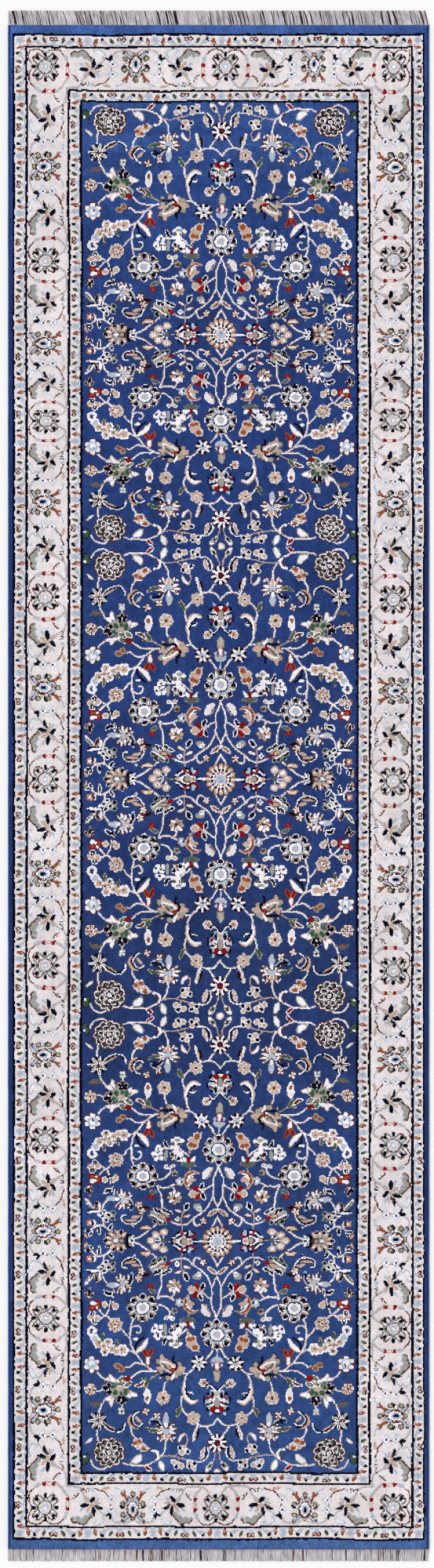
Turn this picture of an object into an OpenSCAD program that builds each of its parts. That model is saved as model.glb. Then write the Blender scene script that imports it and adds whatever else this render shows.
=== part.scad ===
// Hand-knotted runner rug: a cotton ground weave, wool and silk pile in nested border zones,
// overcast selvedges down both sides, and a flat-woven end with a locking chain and a fringe
// of loose warp ends at each end. Units are millimetres. The rug lies flat: X is its width,
// Y its length, Z up. The origin is the middle of its whole outline, on the surface it lies on.

/* [Rug] */
// Width from outer edge to outer edge of the selvedges
rug_w = 813; // [700:1:1000]
// Length of the knotted pile, without end weaves and fringes
pile_l = 2943; // [2000:1:3600]
// Thickness of the ground weave
weave_t = 3; // [2:0.5:5]
// Height of the pile above the ground weave
pile_h = 8; // [5:0.5:12]

/* [Borders at the sides] */
// Width of the plain outer band, inside the selvedge
band_side = 6; // [4:0.5:20]
// Width of each dark edging line
line_side = 3; // [2:0.5:5]
// Width of each guard stripe
guard_side = 18.5; // [12:0.5:30]
// Width of the main border
border_side = 79; // [50:0.5:110]

/* [Borders at the ends] */
// Length of the plain outer band
band_end = 17.5; // [8:0.5:30]
// Length of each dark edging line
line_end = 2.5; // [2:0.5:5]
// Length of the outer guard stripe
outer_guard_end = 21.5; // [12:0.5:30]
// Length of the main border
border_end = 81.5; // [50:0.5:110]
// Length of the inner guard stripe
inner_guard_end = 18; // [12:0.5:30]

/* [Selvedges] */
// Outer diameter of the wool overcasting
selvedge_d = 5; // [4:0.5:8]
// Diameter of the cotton cord inside it
selvedge_cord_d = 3; // [1.5:0.5:3]
// Radial gap between the cord and the overcasting
selvedge_gap = 0.1; // [0.05:0.05:0.3]

/* [Ends] */
// Length of the flat-woven end beyond the pile
end_weave_l = 4; // [3:0.5:20]
// Thickness of the flat-woven end
end_weave_t = 2; // [1.5:0.5:4]
// Diameter of the chain that locks the last weft
chain_d = 1.8; // [1:0.1:3]
// Length of the loose fringe at the far (+Y) end
fringe_far_l = 25; // [10:1:80]
// Length of the loose fringe at the near (-Y) end
fringe_near_l = 20; // [10:1:80]
// Diameter of a fringe strand
strand_d = 1.8; // [1:0.1:2.4]
// Distance from one strand to the next
strand_pitch = 3; // [2.5:0.1:6]

/* [Hidden] */
$fn = 32;
// Share of the ground weave's thickness that the wefts take on each face.
weft_share = 0.25;
far_l = end_weave_l + fringe_far_l;
near_l = end_weave_l + fringe_near_l;
// Y of the pile's middle, so that the whole outline is centred on the origin.
pile_y = (near_l - far_l) / 2;
pile_far_y = pile_y + pile_l / 2;
pile_near_y = pile_y - pile_l / 2;

// Distance in from the rug's edge to the start of each pile zone, from the outside in:
// outer band, line, outer guard, line, main border, line, inner guard, line, field.
side_widths = [selvedge_d, band_side, line_side, guard_side, line_side,
               border_side, line_side, guard_side, line_side];
end_widths = [0, band_end, line_end, outer_guard_end, line_end,
              border_end, line_end, inner_guard_end, line_end];
function sum_to(list, n) = n < 0 ? 0 : list[n] + sum_to(list, n - 1);
function side_inset(zone) = sum_to(side_widths, zone);
function end_inset(zone) = sum_to(end_widths, zone);

// A block of pile, centred, that starts zone steps in from the edges.
module pile_block(zone, low, high) {
    translate([-rug_w / 2 + side_inset(zone), pile_near_y + end_inset(zone), low])
        cube([rug_w - 2 * side_inset(zone), pile_l - 2 * end_inset(zone), high - low]);
}

// One closed ring of pile, from its own edge in to where the next zone starts.
module pile_ring(zone) {
    difference() {
        pile_block(zone, weave_t, weave_t + pile_h);
        pile_block(zone + 1, weave_t - 1, weave_t + pile_h + 1);
    }
}

// A round rod along Y, from y_from to y_to, with its axis at x and z.
module rod_y(x, z, d, y_from, y_to) {
    translate([x, y_from, z]) rotate([-90, 0, 0]) cylinder(d = d, h = y_to - y_from);
}

// One layer of the ground weave, between the selvedges; low and high are shares of its thickness.
module weave_layer(low, high) {
    translate([-rug_w / 2 + selvedge_d, pile_near_y, low * weave_t])
        cube([rug_w - 2 * selvedge_d, pile_l, (high - low) * weave_t]);
}

// The cotton warps run the whole length. The wefts pass under and over them between rows of knots.
module warps() { color("ivory") weave_layer(weft_share, 1 - weft_share); }
module wefts_under() { color("lightsteelblue") weave_layer(0, weft_share); }
module wefts_over() { color("lightsteelblue") weave_layer(1 - weft_share, 1); }

module field_pile() {
    color("royalblue") pile_block(8, weave_t, weave_t + pile_h);
}

module outer_band_pile() { color("royalblue") pile_ring(0); }
module outer_line_pile() { color("midnightblue") pile_ring(1); }
module outer_guard_pile() { color("gainsboro") pile_ring(2); }
module border_outer_line_pile() { color("midnightblue") pile_ring(3); }
module main_border_pile() { color("linen") pile_ring(4); }
module border_inner_line_pile() { color("midnightblue") pile_ring(5); }
module inner_guard_pile() { color("gainsboro") pile_ring(6); }
module inner_line_pile() { color("midnightblue") pile_ring(7); }

// side is -1 at the left (-X) edge and 1 at the right.
module selvedge_cord(side) {
    color("ivory")
        rod_y(side * (rug_w - selvedge_d) / 2, selvedge_d / 2, selvedge_cord_d, pile_near_y, pile_far_y);
}

module selvedge_wrap(side) {
    color("steelblue") difference() {
        rod_y(side * (rug_w - selvedge_d) / 2, selvedge_d / 2, selvedge_d, pile_near_y, pile_far_y);
        rod_y(side * (rug_w - selvedge_d) / 2, selvedge_d / 2, selvedge_cord_d + 2 * selvedge_gap,
              pile_near_y - 1, pile_far_y + 1);
    }
}

// end is 1 at the far (+Y) end and -1 at the near one. The flat-woven strip beyond the pile.
module end_weave(end) {
    middle = pile_y + end * (pile_l + end_weave_l) / 2;
    color("lavender")
        translate([-rug_w / 2, middle - end_weave_l / 2, 0])
            cube([rug_w, end_weave_l, end_weave_t]);
}

// The twined cord across the end weave that keeps the last weft from sliding off.
module end_chain(end) {
    middle = pile_y + end * (pile_l + end_weave_l) / 2;
    color("lavender")
        translate([-rug_w / 2, middle, end_weave_t + chain_d / 2])
            rotate([0, 90, 0]) cylinder(d = chain_d, h = rug_w);
}

// The loose warp ends, as separate strands that start at the end weave.
module fringe(end, length) {
    count = floor((rug_w - strand_d) / strand_pitch) + 1;
    start = pile_y + end * (pile_l / 2 + end_weave_l);
    color("gainsboro")
        for (i = [0 : count - 1])
            rod_y((i - (count - 1) / 2) * strand_pitch, strand_d / 2, strand_d,
                  min(start, start + end * length), max(start, start + end * length));
}

wefts_under();
warps();
wefts_over();
field_pile();
outer_band_pile();
outer_line_pile();
outer_guard_pile();
border_outer_line_pile();
main_border_pile();
border_inner_line_pile();
inner_guard_pile();
inner_line_pile();
selvedge_cord(-1);  // selvedge_cord_left
selvedge_cord(1);  // selvedge_cord_right
selvedge_wrap(-1);  // selvedge_wrap_left
selvedge_wrap(1);  // selvedge_wrap_right
end_weave(1);  // end_weave_far
end_weave(-1);  // end_weave_near
end_chain(1);  // end_chain_far
end_chain(-1);  // end_chain_near
fringe(1, fringe_far_l);  // fringe_far
fringe(-1, fringe_near_l);  // fringe_near
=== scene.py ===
"""A hand-knotted runner rug: knotted pile in nested zones, ground weave, selvedges, woven ends and fringe.

Lengths are millimetres, and go to metres where a mesh is made. The rug lies flat on the floor with its
length along Y. In the drawing functions c is the cartoon, u and v are places in it, and g is the part of it
round one motif, with that motif's own origin.
"""
import math

import bpy
import numpy as np
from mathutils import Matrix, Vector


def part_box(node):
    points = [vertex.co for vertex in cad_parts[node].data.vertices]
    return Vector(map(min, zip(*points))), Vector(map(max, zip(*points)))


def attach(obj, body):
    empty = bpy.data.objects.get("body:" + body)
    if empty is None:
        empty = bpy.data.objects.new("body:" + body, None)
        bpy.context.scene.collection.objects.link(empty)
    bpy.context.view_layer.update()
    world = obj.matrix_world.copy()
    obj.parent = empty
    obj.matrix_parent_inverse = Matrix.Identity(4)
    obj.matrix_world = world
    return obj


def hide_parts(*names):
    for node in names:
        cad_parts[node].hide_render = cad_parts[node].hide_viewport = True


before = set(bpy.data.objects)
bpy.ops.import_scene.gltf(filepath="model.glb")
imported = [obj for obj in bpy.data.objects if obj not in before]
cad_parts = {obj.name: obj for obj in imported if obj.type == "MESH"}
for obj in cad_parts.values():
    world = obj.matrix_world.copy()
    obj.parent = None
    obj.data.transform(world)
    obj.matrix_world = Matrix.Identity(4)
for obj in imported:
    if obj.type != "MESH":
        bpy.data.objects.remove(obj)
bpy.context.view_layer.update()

MM = 0.001
rng = np.random.default_rng(7)

# ---- Yarns ------------------------------------------------------------------------------------
BLUE, NAVY, IVORY, WHITE, TAN, RUST, BROWN, RED, GREEN, GREY, SKY, SLATE = range(12)

# ---- Drawing the cartoon ----------------------------------------------------------------------
# A cartoon is the full-size drawing that the weavers copy knot by knot. Lengths are millimetres.
FINE = 0.7


class Cartoon:
    """A drawing of yarn numbers, with the place of each of its points in the drawing's own axes."""

    def __init__(self, u, v, yarns):
        self.u, self.v, self.yarns = u, v, yarns

    @classmethod
    def blank(cls, width, height, ground):
        """An empty drawing from (0, 0) to (width, height)."""
        across = np.arange(0.0, width + FINE, FINE)
        along = np.arange(0.0, height + FINE, FINE)
        u, v = np.meshgrid(across, along)
        return cls(u, v, np.full(u.shape, ground, np.uint8))

    def at(self, u, v, reach, turn=0.0, flip=1, scale=1.0):
        """The part within reach of (u, v), with its own origin there and its axes turned in degrees."""
        du, dv = self.u - u, self.v - v
        inside = np.hypot(du, dv) < reach
        rows = np.flatnonzero(inside.any(1))
        columns = np.flatnonzero(inside.any(0))
        if not len(rows):
            return Cartoon(du[:0], dv[:0], self.yarns[:0])
        window = np.s_[rows[0]:rows[-1] + 1, columns[0]:columns[-1] + 1]
        du, dv = du[window] / scale, dv[window] / scale
        c, s = math.cos(math.radians(turn)), math.sin(math.radians(turn))
        return Cartoon(c * du + s * dv, (c * dv - s * du) * flip, self.yarns[window])

    def paint(self, mask, yarn):
        self.yarns[mask] = yarn

    def pick(self, u, v):
        """The yarns at the given places of an unturned drawing."""
        row = np.clip((v / FINE).round().astype(int), 0, self.yarns.shape[0] - 1)
        column = np.clip((u / FINE).round().astype(int), 0, self.yarns.shape[1] - 1)
        return self.yarns[row, column]


def curve(points, step=0.6):
    """A smooth line through the points."""
    p = np.array(points, float)
    if len(p) == 2:
        count = max(3, int(np.hypot(*(p[1] - p[0])) / step))
        return p[0] + (p[1] - p[0]) * np.linspace(0, 1, count)[:, None]
    p = np.vstack([2 * p[0] - p[1], p, 2 * p[-1] - p[-2]])
    pieces = []
    for a, b, c, d in zip(p, p[1:], p[2:], p[3:]):
        count = max(3, int(np.hypot(*(c - b)) / step))
        t = np.linspace(0, 1, count, endpoint=False)[:, None]
        pieces.append(0.5 * (2 * b + (c - a) * t + (2 * a - 5 * b + 4 * c - d) * t ** 2
                             + (3 * b - a - 3 * c + d) * t ** 3))
    return np.vstack(pieces + [p[-2][None]])


def beside(line, offset):
    """The line moved sideways by an offset, which may change along it. Positive is to its right."""
    run = np.gradient(line, axis=0)
    run /= np.maximum(np.hypot(run[:, 0], run[:, 1]), 1e-6)[:, None]
    normal = np.stack([-run[:, 1], run[:, 0]], 1)
    return line + normal * np.broadcast_to(offset, len(line))[:, None]


def swell(count, power=0.7):
    """A width that is nothing at both ends and 1 in the middle."""
    return np.sin(np.linspace(0.04, math.pi - 0.04, count)) ** power


def brush(c, yarn, line, radius):
    """Paints along a line of points; the radius may change along it."""
    radius = np.broadcast_to(radius, len(line))
    for (u, v), r in zip(line, radius):
        if r <= 0:
            continue
        rows = np.flatnonzero(np.abs(c.v[:, 0] - v) <= r) if c.v.shape[1] and is_unturned(c) else None
        if rows is None:
            c.paint((c.u - u) ** 2 + (c.v - v) ** 2 < r * r, yarn)
            continue
        columns = np.flatnonzero(np.abs(c.u[0] - u) <= r)
        if len(rows) and len(columns):
            window = np.s_[rows[0]:rows[-1] + 1, columns[0]:columns[-1] + 1]
            near = (c.u[window] - u) ** 2 + (c.v[window] - v) ** 2 < r * r
            c.yarns[window][near] = yarn


def is_unturned(c):
    """Whether the drawing's columns still lie along its u axis."""
    return c.u.shape[0] > 1 and c.u[0, 0] == c.u[-1, 0]


def disc(c, yarn, u, v, r, r_v=None, turn=0.0):
    """A filled circle, or an oval with its first radius turned by some degrees."""
    a = math.radians(turn)
    du, dv = c.u - u, c.v - v
    along, over = math.cos(a) * du + math.sin(a) * dv, math.cos(a) * dv - math.sin(a) * du
    c.paint((along / r) ** 2 + (over / (r_v or r)) ** 2 < 1, yarn)


def around(u, v, reach, count, turn=0.0, oval=1.0):
    """Places spaced round a circle or an oval, each with its direction in degrees."""
    for k in range(count):
        a = math.radians(turn + 360 * k / count)
        yield u + reach * math.cos(a), v + oval * reach * math.sin(a), math.degrees(a)


def dots(c, yarn, places, r, r_v=None):
    """A circle or an oval at each place, with its first radius pointing away from the centre."""
    for u, v, turn in places:
        disc(c, yarn, u, v, r, r_v, turn)


def spokes(c, yarn, radius, u, v, start, end, count, turn):
    """Short strokes that point away from a centre."""
    for inner, outer in zip(around(u, v, start, count, turn), around(u, v, end, count, turn)):
        stroke(c, yarn, radius, inner[:2], outer[:2])


# ---- Small motifs -----------------------------------------------------------------------------
def vine(c, *points):
    """The main stem: a white line with a tan one along its right side."""
    line = curve(points)
    brush(c, TAN, beside(line, 0.9), 0.85)
    brush(c, WHITE, beside(line, -0.5), 1.05)


def stroke(c, yarn, radius, *points):
    """One smooth line of a yarn through the points."""
    brush(c, yarn, curve(points), radius)


def leaf(c, start, end, width, fill, edge, bend=0.0, vein=None, rim=1.1):
    """A leaf between two points; bend moves its middle sideways."""
    (u0, v0), (u1, v1) = start, end
    length = math.hypot(u1 - u0, v1 - v0)
    middle = ((u0 + u1) / 2 - bend * (v1 - v0) / length, (v0 + v1) / 2 + bend * (u1 - u0) / length)
    line = curve([start, middle, end])
    shape = swell(len(line))
    brush(c, edge, line, width / 2 * shape + rim)
    brush(c, fill, line, width / 2 * shape)
    if vein is not None:
        inner = line[len(line) // 6: -len(line) // 6]
        brush(c, vein, inner, 0.9)


def arched_leaf(c, *points, belly=1, width=1.0, fill=TAN, line_yarn=NAVY, edge=WHITE, thin=BROWN,
                reach=(0.2, 0.8)):
    """A long curved leaf: a pale rim, a dark rib, and a short belly on its inside with a thin dark line."""
    line = curve(points)
    shape = swell(len(line), 0.45)
    first, last = (int(share * len(line)) for share in reach)
    part = slice(first, last)
    inner = swell(last - first, 0.8)
    brush(c, fill, beside(line[part], belly * 4.4 * width * inner), 2.6 * width * inner)
    brush(c, thin, beside(line[part], belly * 2.4 * inner), 0.8 * inner)
    brush(c, edge, beside(line, -belly * 2.4), 1.3)
    brush(c, line_yarn, line, 1.6 * shape + 0.2)


def bloom(c, u, v, r, petals, fill, edge, core=None, core_r=2.0, turn=0.0, rim=1.5, lobe=0.42, ring=None):
    """An open flower of round petals about a core."""
    for yarn, grow in ((edge, 0.0), (fill, -rim)):
        dots(c, yarn, around(u, v, r - lobe * r, petals, turn), lobe * r + grow)
        disc(c, yarn, u, v, 0.6 * r + grow)
    if ring is not None:
        disc(c, ring, u, v, core_r + 1.8)
    if core is not None:
        disc(c, core, u, v, core_r)


def star_flower(c, u, v, r, petals, fill, edge, gap, core, turn=0.0):
    """A flower of pointed petals with dark gaps between them."""
    dots(c, gap, around(u, v, 0.62 * r, petals, turn + 180 / petals), 0.30 * r, 0.20 * r)
    for x, y, _ in around(u, v, r, petals, turn):
        leaf(c, (u, v), (x, y), 0.30 * r, fill, edge, vein=core, rim=0.8)
    disc(c, core, u, v, 0.14 * r)


def bud(c, u, v, length, turn, fill=RED, edge=WHITE):
    """A closed bud, pointed at both ends."""
    a = math.radians(turn)
    du, dv = length / 2 * math.cos(a), length / 2 * math.sin(a)
    leaf(c, (u - du, v - dv), (u + du, v + dv), 0.42 * length, fill, edge, rim=1.5)


def lobes(c, dark, pale, rim=1.7, yarn=TAN, outline=WHITE, stain=NAVY):
    """Round dark and pale lobes inside one shared outline. Each lobe is (u, v, radius)."""
    for u, v, r in dark + pale:
        disc(c, outline, u, v, r + rim)
    for u, v, r in pale:
        disc(c, yarn, u, v, r)
    for u, v, r in dark:
        disc(c, stain, u, v, r)


def petals(c, u, v, reach, count, width, fills, edge, turn=0.0, rim=1.0, bend=0.0):
    """Pointed petals round a centre; their fills take turns."""
    for k, (x, y, _) in enumerate(around(u, v, reach, count, turn)):
        leaf(c, (u, v), (x, y), width, fills[k % len(fills)], edge, bend=bend, rim=rim)


# ---- Rosettes ---------------------------------------------------------------------------------
def rings(c, u, v, sizes, turn=0.0, oval=1.0):
    """Concentric ovals, from the outside in, as (radius, yarn)."""
    for r, yarn in sizes:
        disc(c, yarn, u, v, r, r * oval, turn)


# ---- The field's repeat -----------------------------------------------------------------------
# One repeat is a quarter of the design round a star: u runs in from the field's edge to the middle
# line, and v from the line between two stars to the star.
TILE_W, TILE_L = 268.0, 450.0


def cabbage_rosette(c, u, v):
    """The large rosette with overlapping petals and an oval navy heart."""
    flat = 0.92
    for reach, count, size, turn in ((22.5, 11, 7.4, 12), (15.5, 7, 5.6, 40)):
        for yarn, shift, grow in ((BROWN, 0.9, 1.6), (WHITE, 0, 0.1), (SLATE, 0, -1.5)):
            for x, y, _ in around(u, v, reach + shift, count, turn, flat):
                disc(c, yarn, x, y, size + grow)
        bowed = turn + math.degrees(0.2)
        lines = zip(around(u, v, reach - 0.6 * size, count, turn, flat),
                    around(u, v, reach, count, bowed, flat),
                    around(u, v, reach + 0.5 * size, count, turn, flat))
        for places in lines:
            stroke(c, NAVY, 1.5, *(place[:2] for place in places))
    rings(c, u, v, ((12.6, WHITE), (11.4, BROWN), (9.8, WHITE), (8.4, NAVY), (5.0, WHITE), (2.6, TAN)),
          turn=-35, oval=0.78)


def wheel_rosette(c, u, v, reach, stretch=1.0):
    """A large rosette: eight dark petals between eight bent grey ones, round a pale heart in a navy ring."""
    def place(out, angle):
        return u + out * math.cos(angle), v + stretch * out * math.sin(angle)

    for k in range(8):
        a = math.radians(45 * k)
        disc(c, WHITE, *place(reach - 5.6, a), 6.4)
        disc(c, NAVY, *place(reach - 5.4, a), 4.3, 5.5, math.degrees(a))
        stroke(c, BROWN, 0.9, place(reach - 9.5, a), place(reach - 13, a))
    for k in range(8):
        a = math.radians(45 * k + 22.5)
        lean = 0.10 if math.cos(a) < 0 else -0.10
        leaf(c, place(12, a), place(reach + 0.5, a + lean), 7.0, GREY, BROWN, rim=1.5)
        leaf(c, place(13, a - lean), place(reach - 1.5, a + 0.4 * lean), 3.0, WHITE, WHITE, rim=0.0)
    rings(c, u, v, ((reach - 12.0, SKY), (15.4, NAVY), (12.9, WHITE), (7.2, TAN), (5.6, SKY)), oval=stretch)
    disc(c, GREEN, u, v + 12 * stretch, 2.6, 1.6)


def star_medallion(c, u, v):
    """The large flower on the middle line."""
    for yarn, r in ((BROWN, 5.9), (TAN, 4.2)):
        dots(c, yarn, around(u, v, 26, 16), r)
    rings(c, u, v, ((24.0, TAN),))
    dots(c, BROWN, around(u, v, 24, 16, 11.25), 3.6, 1.1)
    dots(c, WHITE, around(u, v, 23.5, 16), 2.0)
    rings(c, u, v, ((20.8, WHITE),))
    for x, y, _ in around(u, v, 18.0, 16, 11.25):
        disc(c, NAVY, x, y, 2.7, 2.6)
    rings(c, u, v, ((14.8, WHITE), (13.6, RUST), (10.8, WHITE), (9.0, SKY)))
    dots(c, WHITE, around(u, v, 12.2, 8), 1.6)
    stroke(c, BROWN, 0.8, (u - 1, v - 3), (u + 1, v), (u - 1, v + 3))


def middle_rosette(c, u, v):
    """The rosette between two stars, with white petals in brown outlines."""
    petals(c, u, v, 18.5, 9, 7.0, (WHITE,), BROWN, turn=90, rim=1.6)
    dots(c, NAVY, around(u, v, 14.0, 9, 110), 3.8, 2.6)
    rings(c, u, v, ((7.6, WHITE), (6.2, NAVY), (3.4, RED)))


def green_palmette(c, u, v):
    """The spreading palmette with a green heart and navy and white horns."""
    g = c.at(u, v, 50)
    for start, end, width, bend in (((-10, -12), (-15, -33), 7.5, -2), ((-12, -12), (-27, -20), 7.5, 2),
                                    ((14, 0), (35, -10), 8.5, -4), ((14, 2), (22, -16), 8.0, -2),
                                    ((0, 16), (-28, 20), 7.0, -2), ((-6, 17), (-17, 30), 7.0, 3)):
        leaf(g, start, end, width, WHITE, TAN, bend=bend, rim=1.2)
    disc(g, BROWN, 20, -5, 1.1, 4.0, 20)
    disc(g, BROWN, -13, -15, 1.1, 4.0, -30)
    disc(g, GREY, -2, -2, 18, 13, 40)
    lobes(g, [(-1, -22, 3.6), (12, -22, 3.6), (5, -27, 3.4), (2, -15, 4.4), (9, -15, 4.4), (5, -20, 5.0)],
          [], 1.3, outline=TAN)
    disc(g, WHITE, 5, -19, 1.1, 4.2)
    lobes(g, [(-18, -5, 4.6), (-27, 4, 4.4), (-19, 9, 3.8), (-22, 1, 5.0), (-24, -3, 3.4)], [], 1.3,
          outline=TAN)
    disc(g, WHITE, -22, -2, 4.0, 1.2, 40)
    for x, y, r, r2, turn in ((-7, -6, 6.2, 4.6, 50), (-10, 6, 6.6, 4.6, 30), (6, -8, 5.6, 4.4, 0),
                              (13, -5, 4.4, 7.6, 0), (-3, 9, 5.0, 3.8, 20)):
        disc(g, GREY, x, y, r + 1.2, r2 + 1.2, turn)
        disc(g, GREEN, x, y, r, r2, turn)
    disc(g, TAN, 3, 2, 7.5, 3.6, 20)
    for x, y in ((5, 12), (17, 10), (6, 21)):
        leaf(g, (x - 6, y - 4), (x + 6, y + 4), 7.5, GREEN, WHITE, rim=1.6)
        stroke(g, TAN, 0.8, (x - 3, y - 2), (x + 3, y + 2))
    disc(g, BROWN, 16.5, 21.5, 7.0, 5.4, 20)
    disc(g, RED, 16.5, 21.5, 6.0, 4.4, 20)
    disc(g, BROWN, 17, 21.5, 2.6, 1.4, 40)


def fan_palmette(c, u, v, turn=0.0, flip=1, scale=1.0):
    """A palmette of narrow white petals in brown outlines, with a pale tail."""
    g = c.at(u, v, 40, turn, flip, scale)
    leaf(g, (0, 10), (0, 34), 10, SKY, TAN)
    for side in (-1, 1):
        for x, y, wide in ((18, 14, 5), (23, 5, 5), (19, -5, 5.5), (12, -20, 5.5), (5, -15, 4)):
            leaf(g, (0, 0), (side * x, y), wide, WHITE, BROWN, rim=1.7)
        disc(g, SLATE, side * 13, 9.5, 2.6, 1.6, side * 30)
        disc(g, BROWN, side * 9, -11, 1.0, 4.6, side * -25)
        disc(g, TAN, side * 7, -10, 2.2, 4.0, side * -25)
        disc(g, WHITE, side * 16, -14, 3.0, 2.0, side * 40)
    leaf(g, (0, 4), (0, -20), 6, TAN, WHITE, rim=1.4)
    disc(g, SKY, 0, 0, 8.5, 4.6)
    disc(g, BROWN, 0, 6, 3.4, 1.8)
    leaf(g, (0, 7), (0, 17), 5.0, WHITE, WHITE, rim=0.6)


def wide_palmette(c, u, v):
    """The big slanting tan palmette with grey lobes, navy arcs and a red throat."""
    g = c.at(u, v, 46)
    for x, y, r in ((-2, -21, 6.6), (21, -13, 6.8), (-17, -7, 6.0), (-21, 13, 6.6), (22, 6, 6.0)):
        disc(g, BROWN, x, y, r)
        disc(g, GREY, x, y, r - 1.7)
    disc(g, TAN, -3, 3, 19, 10.5, -40)
    for start, end, width in (((-16, 18), (14, -9), 17), ((12, -6), (33, -3), 11), ((13, 6), (14, -8), 14),
                              ((-10, -2), (-25, 0), 5), ((-12, 14), (-14, 26), 6), ((5, -12), (6, -25), 5),
                              ((9, -12), (16, -20), 6), ((-14, -13), (-18, -20), 3)):
        leaf(g, start, end, width, TAN, TAN, rim=0.8)
    for x, y, r in ((-2, -20, 3.8), (20, -12, 4.2), (-17, -8, 3.4), (-21, 11, 3.8), (21, 6, 3.2)):
        disc(g, GREY, x, y, r)
    leaf(g, (5, -25), (12, -12), 4.4, WHITE, WHITE, rim=0.6)
    stroke(g, WHITE, 1.7, (-17, 11), (-8, 1), (0, -7), (5, -10))
    stroke(g, WHITE, 1.7, (-15, 13), (-5, 10), (3, 7), (11, 0))
    leaf(g, (-15, 10), (3, -8), 5.0, SLATE, SLATE, rim=0.2)
    leaf(g, (-7, 7), (5, 0), 4.0, TAN, GREY, rim=0.5)
    disc(g, SLATE, 2, 2, 2.2)
    stroke(g, NAVY, 2.2, (-16, -15), (-7, -13), (3, -15), (8, -11))
    stroke(g, NAVY, 2.3, (14, -4), (17, 2), (13, 9), (9, 13), (10, 21))
    disc(g, RED, 8, -5, 5.8, 3.8, 10)
    disc(g, RUST, 8, -5, 1.6, 1.2)


def bar_palmette(c, u, v):
    """The round palmette of navy, white and red bars on the star's line."""
    g = c.at(u, v, 40)
    disc(g, WHITE, -1, 0, 17, 10)
    for side in (-1, 1):
        for yarn, radius, points in (
                (WHITE, 2.2, [(-23, 5), (-16, 11), (-9, 16)]),
                (NAVY, 1.7, [(-20, 10), (-16, 14), (-11, 18)]),
                (NAVY, 1.8, [(-15, 5), (-9, 9), (-3, 10)]), (WHITE, 2.4, [(-1, 12), (0, 18)]),
                (RED, 2.1, [(-8, 19), (-3, 14), (3, 11)]), (NAVY, 2.1, [(-3, 21), (4, 20), (7, 14), (5, 8)]),
                (SKY, 3.2, [(10, 19), (12, 13), (15, 15)]), (NAVY, 1.8, [(14, 19), (18, 17), (19, 13)]),
                (RED, 2.1, [(10, 7), (15, 10), (21, 14)]), (NAVY, 1.7, [(18, 1), (20, 4), (24, 2)])):
            brush(g, yarn, curve([(x, side * y) for x, y in points]), radius)
    stroke(g, NAVY, 1.7, (-22, -5), (-25.5, 0), (-22, 5))
    disc(g, TAN, -19, 0, 4.4, 3.4)
    disc(g, BROWN, -1, 0, 8.0, 7.0)
    disc(g, GREY, 0, 0, 5.6, 5.6)
    disc(g, BROWN, 9, 0, 4.6, 3.4)
    disc(g, TAN, 7.5, 0, 4.0, 3.0)
    leaf(g, (18, 0), (36, 0), 2.6, WHITE, WHITE, rim=0.6)


def star_line_palmette(c, u, v):
    """The tan palmette with a navy base that lies across the star's line."""
    g = c.at(u, v, 44)
    for angle in (180, 145, 110, 75, -145, -110, -75):
        a = math.radians(angle)
        disc(g, SKY, -3 + 24 * math.cos(a), 17.5 * math.sin(a), 6.2, 4.4, angle)
        disc(g, NAVY, -3 + 24.5 * math.cos(a), 18 * math.sin(a), 4.6, 2.8, angle)
    for angle in (162, 128, 92, 55, -162, -128, -92, -55):
        a = math.radians(angle)
        leaf(g, (0, 0), (-3 + 27 * math.cos(a), 21 * math.sin(a)), 7.5, TAN, BROWN, rim=1.2)
        leaf(g, (-3 + 15 * math.cos(a), 12 * math.sin(a)), (-3 + 25 * math.cos(a), 19 * math.sin(a)), 2.4,
             WHITE, WHITE, rim=0.0)
    disc(g, GREY, -3, 0, 12, 9)
    disc(g, BROWN, -7, 0, 8.4, 6)
    disc(g, SKY, -7, 0, 7, 4.5)
    disc(g, WHITE, -7, 0, 4, 2.5)
    disc(g, BROWN, 4.5, 0, 6.6, 6.0)
    disc(g, GREY, 4.5, 0, 4.0, 3.6)
    for side in (-1, 1):
        disc(g, NAVY, 18, 6 * side, 6.0, 8.0, -20 * side)
        disc(g, WHITE, 19.5, 6 * side, 1.1, 4.5, -30 * side)
        disc(g, WHITE, 26, 8 * side, 2.0, 4.4, -35 * side)
    disc(g, WHITE, 24, 0, 6.0, 4.4)
    disc(g, NAVY, 25, 0, 3.6, 2.6)


def grey_palmette(c, u, v):
    """The palmette of navy bars in white and grey outlines with a red tip."""
    g = c.at(u, v, 40)
    disc(g, GREY, -2, -2, 19, 11.5, 15)
    bars = ((-9, -11, 60), (-2, -9, 55), (8, -12, 40), (17, -7, 25), (-17, 2, 30), (-9, 5, 35),
            (-12, 11, 50), (-1, 12, 60), (8, 13, 60))
    for x, y, turn in bars:
        disc(g, WHITE if y < 0 else GREY, x, y, 7.4, 4.2, turn)
    for x, y, turn in bars:
        disc(g, NAVY, x, y, 5.6, 2.5, turn)
    stroke(g, WHITE, 1.5, (-19, -3), (-10, 2), (0, 9), (6, 11))
    disc(g, BROWN, 4, 1, 8.0, 4.8, 10)
    disc(g, TAN, 4, 1, 6.6, 3.2, 10)
    disc(g, RED, 16, 6, 7.5, 3.0, 20)
    disc(g, GREY, 22, 11, 3, 2)


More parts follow.
